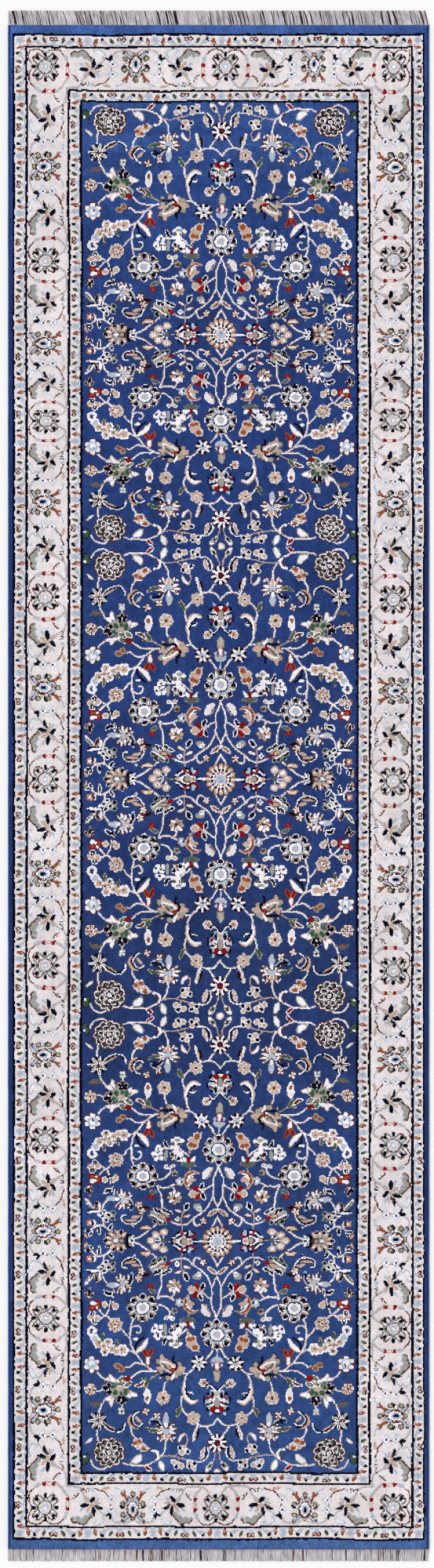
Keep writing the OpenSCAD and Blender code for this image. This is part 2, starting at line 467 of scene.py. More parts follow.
def heart_palmette(c, u, v):
    """The white palmette on the middle line, with red and navy bars and a grey heart."""
    g = c.at(u, v, 44)
    disc(g, SKY, 0, 0, 23, 17)
    disc(g, WHITE, 0, 1, 15, 21)
    for side in (-1, 1):
        leaf(g, (side * 10, -18), (side * 16, -26), 4, SKY, SKY, rim=0.4)
        stroke(g, NAVY, 1.4, (0, -23), (side * 5, -21), (side * 8, -18))
        disc(g, NAVY, side * 19, -14, 3.4, 4.4, side * -20)
        disc(g, TAN, side * 14, -12, 3.0)
        leaf(g, (side * 24, -6), (side * 9, -3), 4.4, NAVY, NAVY, rim=0.0)
        leaf(g, (side * 25, -4), (side * 24, 12), 4.2, NAVY, NAVY, rim=0.0)
        disc(g, NAVY, side * 17, 15, 3.8, 3.0, side * 40)
        disc(g, SKY, side * 9, 14, 5.4, 9.6)
        disc(g, NAVY, side * 9, 13, 3.2, 6.4)
        disc(g, BROWN, side * 8, -14, 5.2, 7.0, side * 40)
        disc(g, RED, side * 7.5, -14, 4.4, 6.4, side * 40)
        disc(g, RED, side * 17, 7, 6.4, 2.3, side * -40)
        stroke(g, BROWN, 1.1, (side * 12, 2), (side * 7, -2))
    disc(g, BROWN, 0, -3, 6.6, 11)
    disc(g, GREY, 0, -2, 5.2, 9)
    disc(g, TAN, 0, 16, 4.0, 7.0)


def centre_bud(c):
    """The bud on the middle line below the white palmette."""
    leaf(c, (268, 176), (268, 205), 13, GREY, GREY, rim=0.4)
    leaf(c, (268, 178), (268, 204), 5, TAN, TAN, rim=0.4)
    disc(c, BROWN, 268, 200, 6.6, 5.6)
    disc(c, TAN, 268, 201, 4.6, 4.8)
    disc(c, SKY, 268, 208, 12, 5.6)
    disc(c, WHITE, 268, 205, 3.6, 6.0)
    stroke(c, RED, 1.7, (261.5, 204), (263, 208), (261, 213))
    leaf(c, (257, 214), (268, 224), 7, SKY, SKY, rim=0.4)
    disc(c, TAN, 268, 217, 5, 3.4)
    stroke(c, SKY, 1.6, (268, 220), (268, 244))


def flower_spray(c):
    """The cluster of white, navy and grey flowers beside the middle rosette."""
    vine(c, (148, 265), (160, 264), (172, 265), (184, 262), (194, 267), (203, 274), (211, 281))
    lobes(c, [(151, 266, 2.4), (143, 280, 2.6), (153, 278, 2.0), (158, 277, 1.8)],
          [(147, 266, 3.2), (156, 266, 3.0), (151, 261, 3.0), (143, 276, 4.6), (147, 284, 3.6),
           (155, 276, 4.4), (157, 283, 3.2)],
          1.2, yarn=WHITE)
    leaf(c, (162, 248), (170, 263), 6.0, NAVY, WHITE, bend=2)
    leaf(c, (166, 268), (165, 289), 6.4, GREY, GREY, rim=0.6)
    for u, v, r in ((186, 248, 7.0), (178, 251, 5.0), (196, 250, 4.4), (185, 262, 6.0), (176, 262, 4.4)):
        disc(c, WHITE, u, v, r)
    disc(c, GREY, 187, 248, 6.0, 3.4)
    for side in (-1, 1):
        disc(c, SLATE, 186 + 8 * side, 256, 4.4, 3.8)
    disc(c, WHITE, 186, 256, 4.0, 5.0)
    disc(c, BROWN, 188, 256, 1.3, 3.0)
    lobes(c, [(178, 276, 3.8), (190, 284, 4.0)], [(185, 270, 4.0), (193, 276, 4.6), (196, 288, 1.6)], 1.6,
          yarn=WHITE)
    bloom(c, 180, 284, 7.0, 4, WHITE, BROWN, turn=45, rim=1.8)
    for side in (-1, 1):
        leaf(c, (211, 292), (211 + 12 * side, 281), 6.0, WHITE, WHITE, bend=2 * side, rim=0.4)
        leaf(c, (211, 293), (211 + 14 * side, 297), 7.0, SLATE, GREY, rim=0.8)
    disc(c, SLATE, 211, 298, 8.0, 5.6)
    disc(c, BROWN, 210.5, 287, 3.8, 7.0)
    disc(c, RED, 210.5, 287, 2.8, 6.2)
    lobes(c, [], [(225, 242, 7.0), (215, 249, 6.0), (222, 250, 6.4), (213, 258, 6.0), (221, 260, 5.4),
                  (213, 266, 2.6)],
          1.5, outline=IVORY)
    disc(c, RUST, 225, 242, 5.2, 5.8, 30)
    disc(c, RUST, 213, 258, 5.2, 4.2)
    disc(c, RUST, 221, 260, 3.8, 4.2)
    leaf(c, (229, 238), (234, 234), 2.4, TAN, TAN, rim=0.6)
    leaf(c, (211, 262), (211, 276), 3.0, TAN, TAN, rim=0.6)


def flower_chain(c):
    """The spray of white flowers that ends in a curl."""
    flowers = ((81, 238, 12), (70, 236, 8), (61, 241, 9), (46, 236, 9.5), (53, 254, 9), (32, 252, 10),
               (25, 262, 9.5), (44, 247, 8))
    for u, v, r in flowers:
        bloom(c, u, v, r, 6, WHITE, WHITE)
    for u, v, r in flowers:
        bloom(c, u, v, 0.66 * r, 5, TAN, TAN, turn=30)
    for u, v, r in ((46, 235, 2.6), (60, 241, 1.5), (80, 239, 1.9), (43, 247, 1.7), (34, 253, 1.5),
                    (53, 256, 2.6)):
        disc(c, NAVY, u, v, r, 0.8 * r, 40)
    for u, v in ((46, 235), (53, 256)):
        disc(c, WHITE, u, v, 0.9)
    disc(c, RUST, 38, 247, 1.7, 2.2)
    disc(c, RUST, 51, 248, 1.9, 1.3)
    disc(c, SKY, 24, 261, 5.5)
    stroke(c, WHITE, 2.9, (20, 266), (13, 270), (12, 278), (19, 283), (26, 279), (23, 273))
    stroke(c, TAN, 0.9, (15, 272), (14, 278), (19, 281))
    for start, end in (((67, 244), (70, 259)), ((42, 255), (43, 271))):
        leaf(c, start, end, 5, GREEN, TAN, rim=1.0)


def stems(c):
    """All stems, laid first so that the flowers cover their ends."""
    for points in (
            [(52, 14), (44, 7), (35, 6), (25, 10), (19, 17), (16, 24)], [(30, 88), (30, 72), (33, 54)],
            [(47, 143), (41, 133), (36, 123), (31, 112)],
            [(81, 18), (93, 14), (110, 14), (124, 14), (135, 18), (148, 26), (158, 34), (164, 44), (166, 54),
             (167, 66)],
            [(94, 14), (101, 22)], [(96, 91), (97, 80), (101, 72), (106, 65)],
            [(245, 90), (252, 79), (260, 70)], [(228, 95), (236, 91), (247, 90), (258, 93), (268, 105)],
            [(200, 146), (197, 134), (199, 122), (210, 109)], [(28, 158), (36, 158), (42, 163)],
            [(31, 196), (37, 189), (46, 182), (56, 178)],
            [(96, 184), (104, 191), (113, 196), (125, 198), (140, 198), (152, 198)],
            [(140, 198), (128, 206), (118, 215), (110, 227), (103, 235), (98, 247), (96, 262), (97, 280),
             (100, 293), (104, 303)],
            [(120, 211), (106, 213), (97, 208), (91, 203), (86, 206)],
            [(165, 176), (162, 167), (162, 156)], [(200, 192), (210, 191), (218, 197), (226, 203)],
            [(210, 190), (205, 180), (204, 168)], [(240, 213), (249, 222), (257, 233), (262, 244)],
            [(104, 232), (98, 236), (90, 238)], [(95, 262), (87, 269), (81, 278)],
            [(60, 295), (53, 302), (47, 306), (38, 302), (32, 301)], [(47, 306), (40, 311), (33, 318)],
            [(47, 306), (51, 313), (53, 319)], [(64, 361), (53, 367), (45, 375), (41, 385), (42, 394)],
            [(98, 281), (106, 285), (114, 283), (117, 277), (115, 271), (110, 271)],
            [(148, 338), (152, 349), (156, 359), (157, 370), (158, 385)],
            [(150, 326), (160, 324), (168, 319), (174, 311), (174, 303)],
            [(172, 303), (167, 300)], [(174, 303), (180, 299)], [(149, 338), (158, 342), (173, 341)],
            [(174, 338), (181, 344), (184, 352)], [(176, 339), (188, 333)],
            [(268, 300), (264, 312), (259, 323), (258, 335), (259, 348), (258, 361)],
            [(240, 350), (248, 344), (259, 338)],
            [(258, 361), (253, 373), (246, 385), (236, 394), (222, 403), (210, 414), (198, 417), (186, 415),
             (177, 411)],
            [(258, 361), (264, 374), (269, 386), (270, 398), (263, 411), (257, 421)],
            [(222, 403), (221, 412), (227, 419), (238, 414)],
            [(102, 447), (115, 442), (132, 430), (148, 417)],
            [(60, 434), (52, 428), (43, 421), (31, 420), (24, 424), (16, 431)],
            [(44, 421), (42, 412), (40, 402)]):
        vine(c, *points)
    for points in (
            [(153, 30), (162, 32), (171, 33), (182, 31), (193, 29), (204, 26), (213, 23)],
            [(183, 31), (193, 39)],
            [(206, 53), (209, 62), (208, 71), (203, 75)], [(258, 19), (263, 28), (265, 40)],
            [(189, 20), (193, 27)], [(128, 162), (125, 170)], [(132, 182), (142, 188), (151, 193)],
            [(210, 300), (212, 306), (209, 313)],
            [(208, 344), (217, 348), (220, 352)], [(207, 386), (199, 395), (197, 403), (197, 416),
                                                   (199, 430)],
            [(170, TILE_L), (180, TILE_L)]):
        stroke(c, TAN, 1.1, *points)
    for points in ([(79, 131), (78, 124)], [(34, 421), (35, 430)]):
        stroke(c, WHITE, 1.3, *points)


def field_tile():
    """Draws the field's repeat."""
    c = Cartoon.blank(TILE_W, TILE_L, BLUE)
    stems(c)
    draw_end_part(c)
    draw_middle_part(c)
    draw_star_part(c)
    return c


def draw_end_part(c):
    """The flowers beside the line between two stars."""
    cabbage_rosette(c, 53, 38)
    leaf(c, (6, 17), (12, 34), 11, GREEN, NAVY, bend=2, rim=1.6)
    disc(c, WHITE, 5, 30, 2.6)
    leaf(c, (20, 65), (8, 55), 3.6, WHITE, TAN, rim=1.2)
    leaf(c, (99, 21), (115, 34), 11, WHITE, GREY, bend=-3, rim=2.0)
    bud(c, 131, 8, 15, -40)
    stroke(c, WHITE, 2.6, (149, 27), (151, 34), (148, 40), (139, 44))
    stroke(c, BROWN, 1.4, (142, 23), (147, 30), (146, 37), (143, 41))
    leaf(c, (154, 22), (161, 4), 9, WHITE, GREY, rim=2.0)
    lobes(c, [(187, 11, 4.2)], [(197, 13, 4.4), (182, 20, 4.2), (190, 18, 2.4)])
    lobes(c, [(213, 12, 3.6), (223, 18, 3.6)], [(223, 8, 3.4), (214, 20, 4.4)])
    lobes(c, [(195, 48, 3.8), (210, 41, 3.6)], [(199, 40, 5.0), (204, 50, 3.6)])
    leaf(c, (193, 60), (205, 75), 5.0, WHITE, TAN, bend=3)
    stroke(c, WHITE, 1.3, (227, 22), (238, 22), (247, 28), (251, 38), (249, 48))
    leaf(c, (237, 25), (243, 49), 6.5, TAN, WHITE, bend=1)
    stroke(c, NAVY, 1.7, (238, 24), (244, 30), (247, 37), (247, 46))
    leaf(c, (247, 3), (259, 20), 8.5, WHITE, TAN)
    leaf(c, (249, 8), (256, 20), 3.4, GREEN, GREEN, rim=0.0)
    leaf(c, (252, 7), (259, 18), 3.2, NAVY, NAVY, rim=0.0)
    disc(c, TAN, 268, 0, 7.5)
    disc(c, WHITE, 268, 0, 5.5)
    middle_rosette(c, 268, 57)
    leaf(c, (229, 91), (220, 62), 8.5, WHITE, WHITE, bend=2, rim=1.0)
    leaf(c, (226, 88), (221, 65), 3.0, TAN, TAN, bend=2, rim=0.0)
    leaf(c, (230, 88), (225, 65), 4.6, NAVY, BROWN, bend=3, rim=0.5)
    bloom(c, 221, 104, 13.5, 6, TAN, IVORY, core=NAVY, core_r=2.2, ring=IVORY, turn=30, rim=1.0, lobe=0.34)
    leaf(c, (189, 108), (198, 126), 7, GREEN, TAN, bend=2)
    fan_palmette(c, 167, 81)
    leaf(c, (151, 83), (127, 88), 6.4, GREEN, TAN, bend=3)
    stroke(c, SKY, 2.4, (134, 98), (140, 105), (150, 103), (157, 95))
    stroke(c, NAVY, 2.3, (136, 100), (142, 101), (149, 99), (156, 92))
    stroke(c, NAVY, 1.6, (140, 94), (145, 99))
    bloom(c, 126, 119, 8.8, 4, WHITE, BROWN, core=TAN, core_r=2.8, turn=20, rim=1.9)
    bloom(c, 149, 111, 9.0, 4, WHITE, BROWN, core=TAN, core_r=2.8, turn=45, rim=1.9)
    arched_leaf(c, (121, 93), (114, 88), (105, 89), (98, 97), (97, 106), (103, 115), (111, 120), belly=1,
                width=1.1, thin=RUST)
    leaf(c, (106, 108), (116, 98), 5, TAN, TAN, rim=0.6)
    bloom(c, 110, 57, 12, 5, TAN, WHITE, turn=-20, rim=1.6)
    bloom(c, 121, 49, 9, 5, TAN, WHITE, turn=10, rim=1.5)
    for u, v, r, turn in ((104, 57, 4.6, 0), (114, 61, 5.0, -10), (122, 46, 5.6, -25)):
        disc(c, RUST, u, v, r, 3.8, turn)
    leaf(c, (127, 44), (133, 48), 3, TAN, WHITE, rim=0.8)
    star_flower(c, 31, 99, 19, 7, WHITE, SLATE, NAVY, BROWN, turn=80)
    arched_leaf(c, (41, 96), (49, 87), (58, 82), (67, 80), (76, 82), (81, 88), (82, 95), belly=1, width=0.9,
                reach=(0.05, 0.6))
    bloom(c, 78, 118, 7.6, 4, WHITE, GREY, core=NAVY, core_r=1.9, turn=45)
    arched_leaf(c, (16, 137), (22, 130), (30, 130), (38, 136), belly=1, width=0.9, fill=RUST,
                line_yarn=SLATE, thin=RUST, edge=SLATE)


def draw_middle_part(c):
    """The palmettes and sprays halfway to the star."""
    green_palmette(c, 73, 161)
    bloom(c, 17, 161, 13, 7, WHITE, BROWN, core=WHITE, core_r=2.4, turn=12, rim=1.3)
    for angle in range(12, 372, 52):
        a = math.radians(angle)
        disc(c, TAN, 17 + 8 * math.cos(a), 161 + 8 * math.sin(a), 2.6)
        stroke(c, BROWN, 0.9, (17, 161), (17 + 9 * math.cos(a + 0.45), 161 + 9 * math.sin(a + 0.45)))
    bloom(c, 20.5, 210, 18, 6, WHITE, BROWN, turn=-90, rim=2.0, lobe=0.38)
    disc(c, SKY, 20.5, 211, 10.5, 10)
    disc(c, WHITE, 20.5, 212, 5.5, 6)
    disc(c, NAVY, 22, 208, 1.2, 3.4, -20)
    leaf(c, (129, 135), (128, 163), 12.5, WHITE, WHITE)
    leaf(c, (129, 145), (128, 162), 8, IVORY, IVORY, rim=0.0)
    disc(c, RUST, 128.5, 144, 3.6, 5)
    leaf(c, (122, 167), (133, 184), 6.5, GREEN, TAN)
    leaf(c, (105, 169), (122, 178), 5.4, BROWN, WHITE, bend=-3, rim=1.6)
    leaf(c, (117, 183), (127, 181), 3.4, GREEN, TAN)
    bloom(c, 161, 145, 14, 6, TAN, IVORY, core=NAVY, core_r=2.6, turn=10, rim=1.0, lobe=0.34)
    spokes(c, IVORY, 0.9, 161, 145, 6, 12, 6, 40)
    wide_palmette(c, 172, 204)
    spine = curve([(203, 172), (203, 155), (208, 142), (217, 134), (229, 137)])
    brush(c, TAN, spine, 4.6 * swell(len(spine), 0.35))
    brush(c, WHITE, beside(spine, 1.6), 3.4 * swell(len(spine), 0.45))
    leaf(c, (211, 154), (221, 150), 5.0, WHITE, WHITE, rim=0.4)
    stroke(c, NAVY, 1.7, (206, 162), (208, 153), (212, 146), (219, 140))
    stroke(c, NAVY, 1.2, (209, 152), (219, 150))
    heart_palmette(c, 268, 136)
    for yarn, offset in ((WHITE, 1.9), (NAVY, 0.0)):
        brush(c, yarn, beside(curve([(268, 157), (264, 162), (257, 169), (251, 169), (246, 163)]), offset),
              1.4)
        brush(c, yarn, beside(curve([(250, 169), (248, 178)]), offset), 1.4)
    bloom(c, 242, 172, 9.0, 6, TAN, WHITE)
    disc(c, RED, 243, 172, 1.6, 3.2, -35)
    disc(c, NAVY, 248, 167, 2.2, 3.2)
    centre_bud(c)
    petals(c, 233, 211, 15.5, 7, 5.2, (WHITE,), BROWN, turn=10, rim=1.5)
    for x, y, _ in around(233, 211, 12, 7, 10 + 180 / 7):
        disc(c, NAVY, x, y, 3.4, 3.0)
    disc(c, SKY, 233, 211, 4.6)
    disc(c, NAVY, 233, 214, 2.6, 2.0)
    for yarn, grow in ((GREY, 2.0), (RUST, 0.0)):
        disc(c, yarn, 79, 202, 4.2 + grow)
        disc(c, yarn, 71, 208, 5.4 + grow, 4.0 + grow, -10)
    stroke(c, BROWN, 1.2, (84, 209), (87, 203), (92, 202))
    leaf(c, (130, 209), (130, 232), 7, WHITE, RUST, rim=1.8)
    for side in (-1, 1):
        leaf(c, (130 + side * 2, 226), (130 + side * 9, 241), 5.6, RED, RUST, rim=1.8)
    flower_chain(c)
    leaf(c, (106, 233), (131, 260), 8, WHITE, TAN, bend=-3)
    stroke(c, NAVY, 2.0, (106, 238), (108, 249), (114, 256), (122, 262))
    leaf(c, (103, 259), (112, 259), 3, WHITE, WHITE)
    flower_spray(c)
    bloom(c, 66, 288, 15, 7, TAN, IVORY, core=NAVY, core_r=2.0, ring=WHITE, turn=10, rim=1.0, lobe=0.32)
    dots(c, BROWN, around(66, 288, 7.5, 8, 32), 2.4, 1.1)
    spokes(c, IVORY, 0.8, 66, 288, 11, 14, 8, 32)


def draw_star_part(c):
    """The flowers round the star."""
    wheel_rosette(c, 268, 269, 31, 0.95)
    wheel_rosette(c, 120, 319, 30, 0.88)
    lobes(c, [(24, 294, 4.4), (20, 310, 4.6)], [(15, 303, 4.0), (30, 301, 5.0), (20, 301, 3.6)])
    for u, v in ((24, 295), (20, 310)):
        disc(c, WHITE, u, v, 1.5, 2.0)
    disc(c, RUST, 11, 298, 1.8, 4.6, 20)
    for u, v, turn in ((20, 322, 15), (32, 329, -70)):
        disc(c, RED, u, v, 8.6, 6.0, turn)
        disc(c, RUST, u, v, 4.4, 2.6, turn)
    lobes(c, [], [(29, 322, 2.6), (20, 331, 4.6), (26, 330, 3.0)], 1.6, yarn=WHITE, outline=BROWN)
    disc(c, RED, 16, 339, 2.2, 2.4)
    for start, end, width in (((14, 342), (6, 350), 5.0), ((14, 342), (22, 350), 5.0),
                              ((13, 342), (16, 360), 5.6)):
        leaf(c, start, end, width, NAVY, TAN, rim=1.1)
    disc(c, WHITE, 14, 344, 1.0, 2.4)
    lobes(c, [], [(45, 328, 4.6), (66, 324, 5.0), (60, 329, 4.0)])
    for u in (52, 57):
        disc(c, NAVY, u, 323, 1.9, 4.2)
    disc(c, WHITE, 54.5, 324, 0.9, 3.8)
    leaf(c, (56, 328), (57, 338), 3.0, WHITE, BROWN, rim=1.0)
    leaf(c, (44, 355), (62, 349), 6.0, NAVY, WHITE, bend=-3, rim=1.6)
    leaf(c, (61, 342), (63, 357), 2.6, NAVY, WHITE, rim=1.2)
    fan_palmette(c, 80, 367, turn=-86, flip=-1, scale=0.9)
    stroke(c, SKY, 3.0, (95, 366), (99, 376), (98, 387))
    stroke(c, NAVY, 2.4, (93, 368), (97, 376), (98, 384))
    bloom(c, 112, 377, 9.4, 5, WHITE, BROWN, core=TAN, core_r=2.6, turn=30, rim=2.0)
    leaf(c, (118, 381), (134, 385), 5.6, NAVY, BROWN, rim=1.2)
    bloom(c, 118, 391, 9.0, 5, WHITE, BROWN, core=TAN, core_r=2.4, turn=0, rim=2.0)
    arched_leaf(c, (88, 400), (82, 401), (82, 408), (89, 413), (101, 414), (111, 409), (117, 399), belly=-1,
                width=1.1, thin=RUST)
    leaf(c, (98, 404), (114, 400), 5, TAN, TAN, rim=0.6)
    leaf(c, (100, 415), (105, 423), 2.6, NAVY, WHITE)
    leaf(c, (6, 366), (24, 388), 6.5, WHITE, TAN)
    stroke(c, GREEN, 1.4, (9, 371), (21, 386))
    leaf(c, (27, 388), (33, 371), 5, NAVY, TAN, bend=-2)
    leaf(c, (35, 390), (36, 375), 5, WHITE, TAN)
    leaf(c, (37, 392), (9, 393), 4, WHITE, WHITE, rim=0.6)
    leaf(c, (8, 393), (29, 388), 4.0, NAVY, NAVY, bend=-2, rim=0.0)
    disc(c, GREY, 52, 400, 13, 8)
    dark = ((44, 393), (62, 394), (53, 399), (41, 402), (48, 409), (61, 406))
    for u, v in dark:
        disc(c, WHITE if u < 55 else GREY, u, v, 5.8, 4.4, 30)
    for u, v in dark:
        disc(c, NAVY, u, v, 3.9, 2.6, 30)
    leaf(c, (36, 400), (31, 398), 3, WHITE, WHITE)
    lobes(c, [], [(167, 300, 2.6), (175, 301, 2.0), (180, 299, 2.6)])
    bloom(c, 183, 313, 7.5, 5, GREY, SLATE, turn=-90, rim=0.8)
    disc(c, BROWN, 184, 314, 4.2, 2.8, -10)
    disc(c, RED, 135, 361, 6.6, 6.0, 30)
    disc(c, RUST, 135, 362, 3.0, 1.6, 50)
    leaf(c, (133, 356), (147, 350), 7, SLATE, GREY, bend=-2)
    bloom(c, 194, 330, 10.5, 6, SKY, BROWN, turn=20, rim=1.4)
    disc(c, WHITE, 193, 331, 3.4)
    disc(c, NAVY, 197, 331, 2.0, 3.0)
    arched_leaf(c, (213, 343), (206, 336), (204, 326), (208, 317), (219, 312), (229, 317), belly=1,
                width=1.0,
                fill=WHITE, line_yarn=RUST, edge=TAN, thin=BROWN, reach=(0.0, 0.95))
    leaf(c, (210, 338), (219, 321), 7, TAN, WHITE, bend=-2)
    leaf(c, (214, 330), (224, 327), 4, TAN, TAN)
    leaf(c, (240, 326), (254, 305), 11, IVORY, WHITE, bend=-3, rim=0.8)
    stroke(c, TAN, 1.0, (246, 326), (253, 318), (256, 308))
    petals(c, 183, 362, 14.5, 8, 8.0, (TAN, GREY, TAN, WHITE, TAN, WHITE, WHITE, WHITE), BROWN, turn=0,
           rim=1.3)
    disc(c, BROWN, 183, 362, 2.4)
    lobes(c, [], [(218, 356, 6.4), (226, 353, 4.6), (237, 348, 3.4)], 1.2)
    leaf(c, (222, 340), (229, 351), 8, RED, BROWN, rim=1.0)
    leaf(c, (236, 356), (224, 367), 8, RED, RUST, rim=1.4)
    leaf(c, (233, 347), (239, 335), 6.5, NAVY, WHITE, rim=1.6)
    leaf(c, (237, 354), (242, 368), 6.0, NAVY, WHITE, rim=1.6)
    disc(c, GREY, 228, 381, 8.4, 5.8)
    disc(c, WHITE, 232, 386, 6.4, 4.8)
    for u in (229, 233, 237):
        disc(c, SLATE if u > 230 else BROWN, u, 386, 1.0, 2.8, -10)
    leaf(c, (249, 400), (267, 387), 7, TAN, WHITE, rim=1.2)
    stroke(c, BROWN, 1.1, (254, 397), (263, 390))
    bloom(c, 240, 410, 8.5, 5, WHITE, BROWN, turn=-90, rim=1.9)
    disc(c, BROWN, 240, 410, 3.0, 1.0, 30)
    for start, end in (((185, 387), (198, 393)), ((201, 402), (215, 397))):
        leaf(c, start, end, 5.0, IVORY, BROWN, rim=1.4)
    leaf(c, (203, 387), (210, 375), 8, NAVY, WHITE, rim=2.0)
    bloom(c, 189, 406, 5.6, 4, WHITE, WHITE, core=NAVY, core_r=1.7)
    grey_palmette(c, 155, 400)
    star_line_palmette(c, 74, TILE_L)
    leaf(c, (115, 427), (138, 426), 8, TAN, BROWN, bend=-3, rim=1.6)
    stroke(c, WHITE, 1.0, (120, 424), (130, 424), (136, 427))
    leaf(c, (53, 427), (60, 418), 5, NAVY, WHITE, rim=1.7)
    leaf(c, (33, 422), (34, 438), 5, NAVY, WHITE, rim=1.6)
    bloom(c, 15, 415, 8.0, 5, TAN, RUST, core=WHITE, core_r=2.4, rim=1.6)
    disc(c, WHITE, 24, 415, 3.0, 6.0)
    disc(c, NAVY, 22, 415, 1.9, 5.0)
    leaf(c, (6, 431), (19, 431), 5, NAVY, WHITE)
    leaf(c, (14, 441), (19, 433), 4.5, NAVY, WHITE)
    leaf(c, (5, 436), (10, 446), 5, TAN, BROWN)
    for u, v in ((162, TILE_L - 17), (146, TILE_L - 11), (137, TILE_L)):
        stroke(c, WHITE, 1.3, (162, TILE_L), (u, v))
    for u, v in ((162, TILE_L - 17), (146, TILE_L - 11), (137, TILE_L)):
        disc(c, TAN, u, v, 8.4, 7.4)
        disc(c, WHITE, u, v, 4.6, 3.8)
        disc(c, BROWN, u, v, 1.1)
    disc(c, SLATE, 162, TILE_L, 5.0)
    bar_palmette(c, 203, TILE_L)
    star_medallion(c, TILE_W, TILE_L)
    leaf(c, (230, TILE_L), (240, TILE_L), 4.0, WHITE, WHITE, rim=0.4)


# ---- The main border's half unit --------------------------------------------------------------
# u runs along the border from a palmette (0) to the next rosette, and v from its outer edge inwards.
BORDER_L, BORDER_W = 172.0, 81.0


def border_palmette(c):
    for side in (-1, 1):
        stroke(c, BROWN, 3.6, (side * 4, 24), (side * 14, 14), (side * 21, 9))
        stroke(c, SKY, 2.1, (side * 4, 24), (side * 13, 15), (side * 19, 11))
        leaf(c, (side * 8, 26), (side * 26, 38), 5.0, WHITE, BROWN, rim=1.0)
        leaf(c, (side * 17, 33), (side * 27, 40), 5.5, NAVY, NAVY, rim=0.0)
        stroke(c, BROWN, 2.4, (side * 7, 44), (side * 13, 50), (side * 16, 58), (side * 24, 63))
        stroke(c, RUST, 2.2, (side * 11, 48), (side * 15, 55), (side * 23, 62))
        stroke(c, RUST, 1.8, (side * 17, 58), (side * 17, 66))
        stroke(c, SKY, 2.2, (side * 20, 65), (side * 27, 69), (side * 36, 72))
        stroke(c, IVORY, 1.2, (side * 26, 67), (side * 34, 70))
    for u, v in ((0, 14), (20, 21), (-20, 21), (20, 42), (-20, 42), (0, 61)):
        disc(c, GREEN, u, v, 5.6)
        disc(c, TAN, u, v, 3.2)
        disc(c, RUST, u, v + 1, 1.6, 1.0)
    disc(c, BROWN, 0, 32, 13.5, 16.5)
    disc(c, WHITE, 0, 32, 11.4, 14.4)
    for side in (-1, 1):
        stroke(c, BROWN, 1.2, (side * 12, 36), (side * 8, 40), (side * 6, 48), (side * 2, 55))
        stroke(c, SKY, 2.0, (side * 10, 42), (side * 8, 48), (side * 5, 54))
        stroke(c, BROWN, 1.1, (side * 13, 42), (side * 11, 50), (side * 7, 56))
        stroke(c, BROWN, 1.0, (side * 3, 19), (side * 9, 25), (side * 10, 33))
    disc(c, SKY, 0, 31, 6.6, 9.5)
    disc(c, NAVY, 0, 31, 3.4, 6.2)
    stroke(c, BROWN, 1.2, (0, 49), (0, 57))


def border_rosette(c, u, v):
    """The sunburst rosette of the main border: navy knobs between grey petals with hooked brown tips."""
    g = c.at(u, v, 42)
    for k in range(8):
        a = math.radians(45 * k + 22.5)
        x, y = math.cos(a), math.sin(a)
        hook = 0.2 * (-1) ** k
        leaf(g, (9 * x, 9 * y), (28 * math.cos(a + hook), 29 * math.sin(a + hook)), 8.0, GREY, BROWN,
             rim=1.5)
        leaf(g, (13 * x, 13 * y), (24 * math.cos(a + hook), 25 * math.sin(a + hook)), 3.4, WHITE, WHITE,
             rim=0.0)
        stroke(g, BROWN, 1.2, (26 * math.cos(a + hook), 27 * math.sin(a + hook)),
               (29 * math.cos(a + 1.6 * hook), 30 * math.sin(a + 1.6 * hook)))
    for k in range(8):
        a = math.radians(45 * k)
        disc(g, WHITE, 20.5 * math.cos(a), 21.5 * math.sin(a), 5.4, 5.0)
        disc(g, GREY, 18.5 * math.cos(a), 19.5 * math.sin(a), 4.0)
        disc(g, NAVY, 22.5 * math.cos(a), 23.5 * math.sin(a), 4.6, 3.9, 45 * k)
    rings(g, 0, 0, ((14.6, SKY), (13.2, BROWN), (11.2, IVORY), (9.6, TAN), (8.4, IVORY)), oval=1.12)
    bloom(g, 0, 0, 6.8, 6, SKY, SKY, rim=0.0)
    disc(g, WHITE, 0, 0, 3.0, 3.4)
    for side in (-1, 1):
        disc(g, GREEN, 0, side * 15.5, 3.0, 2.0)


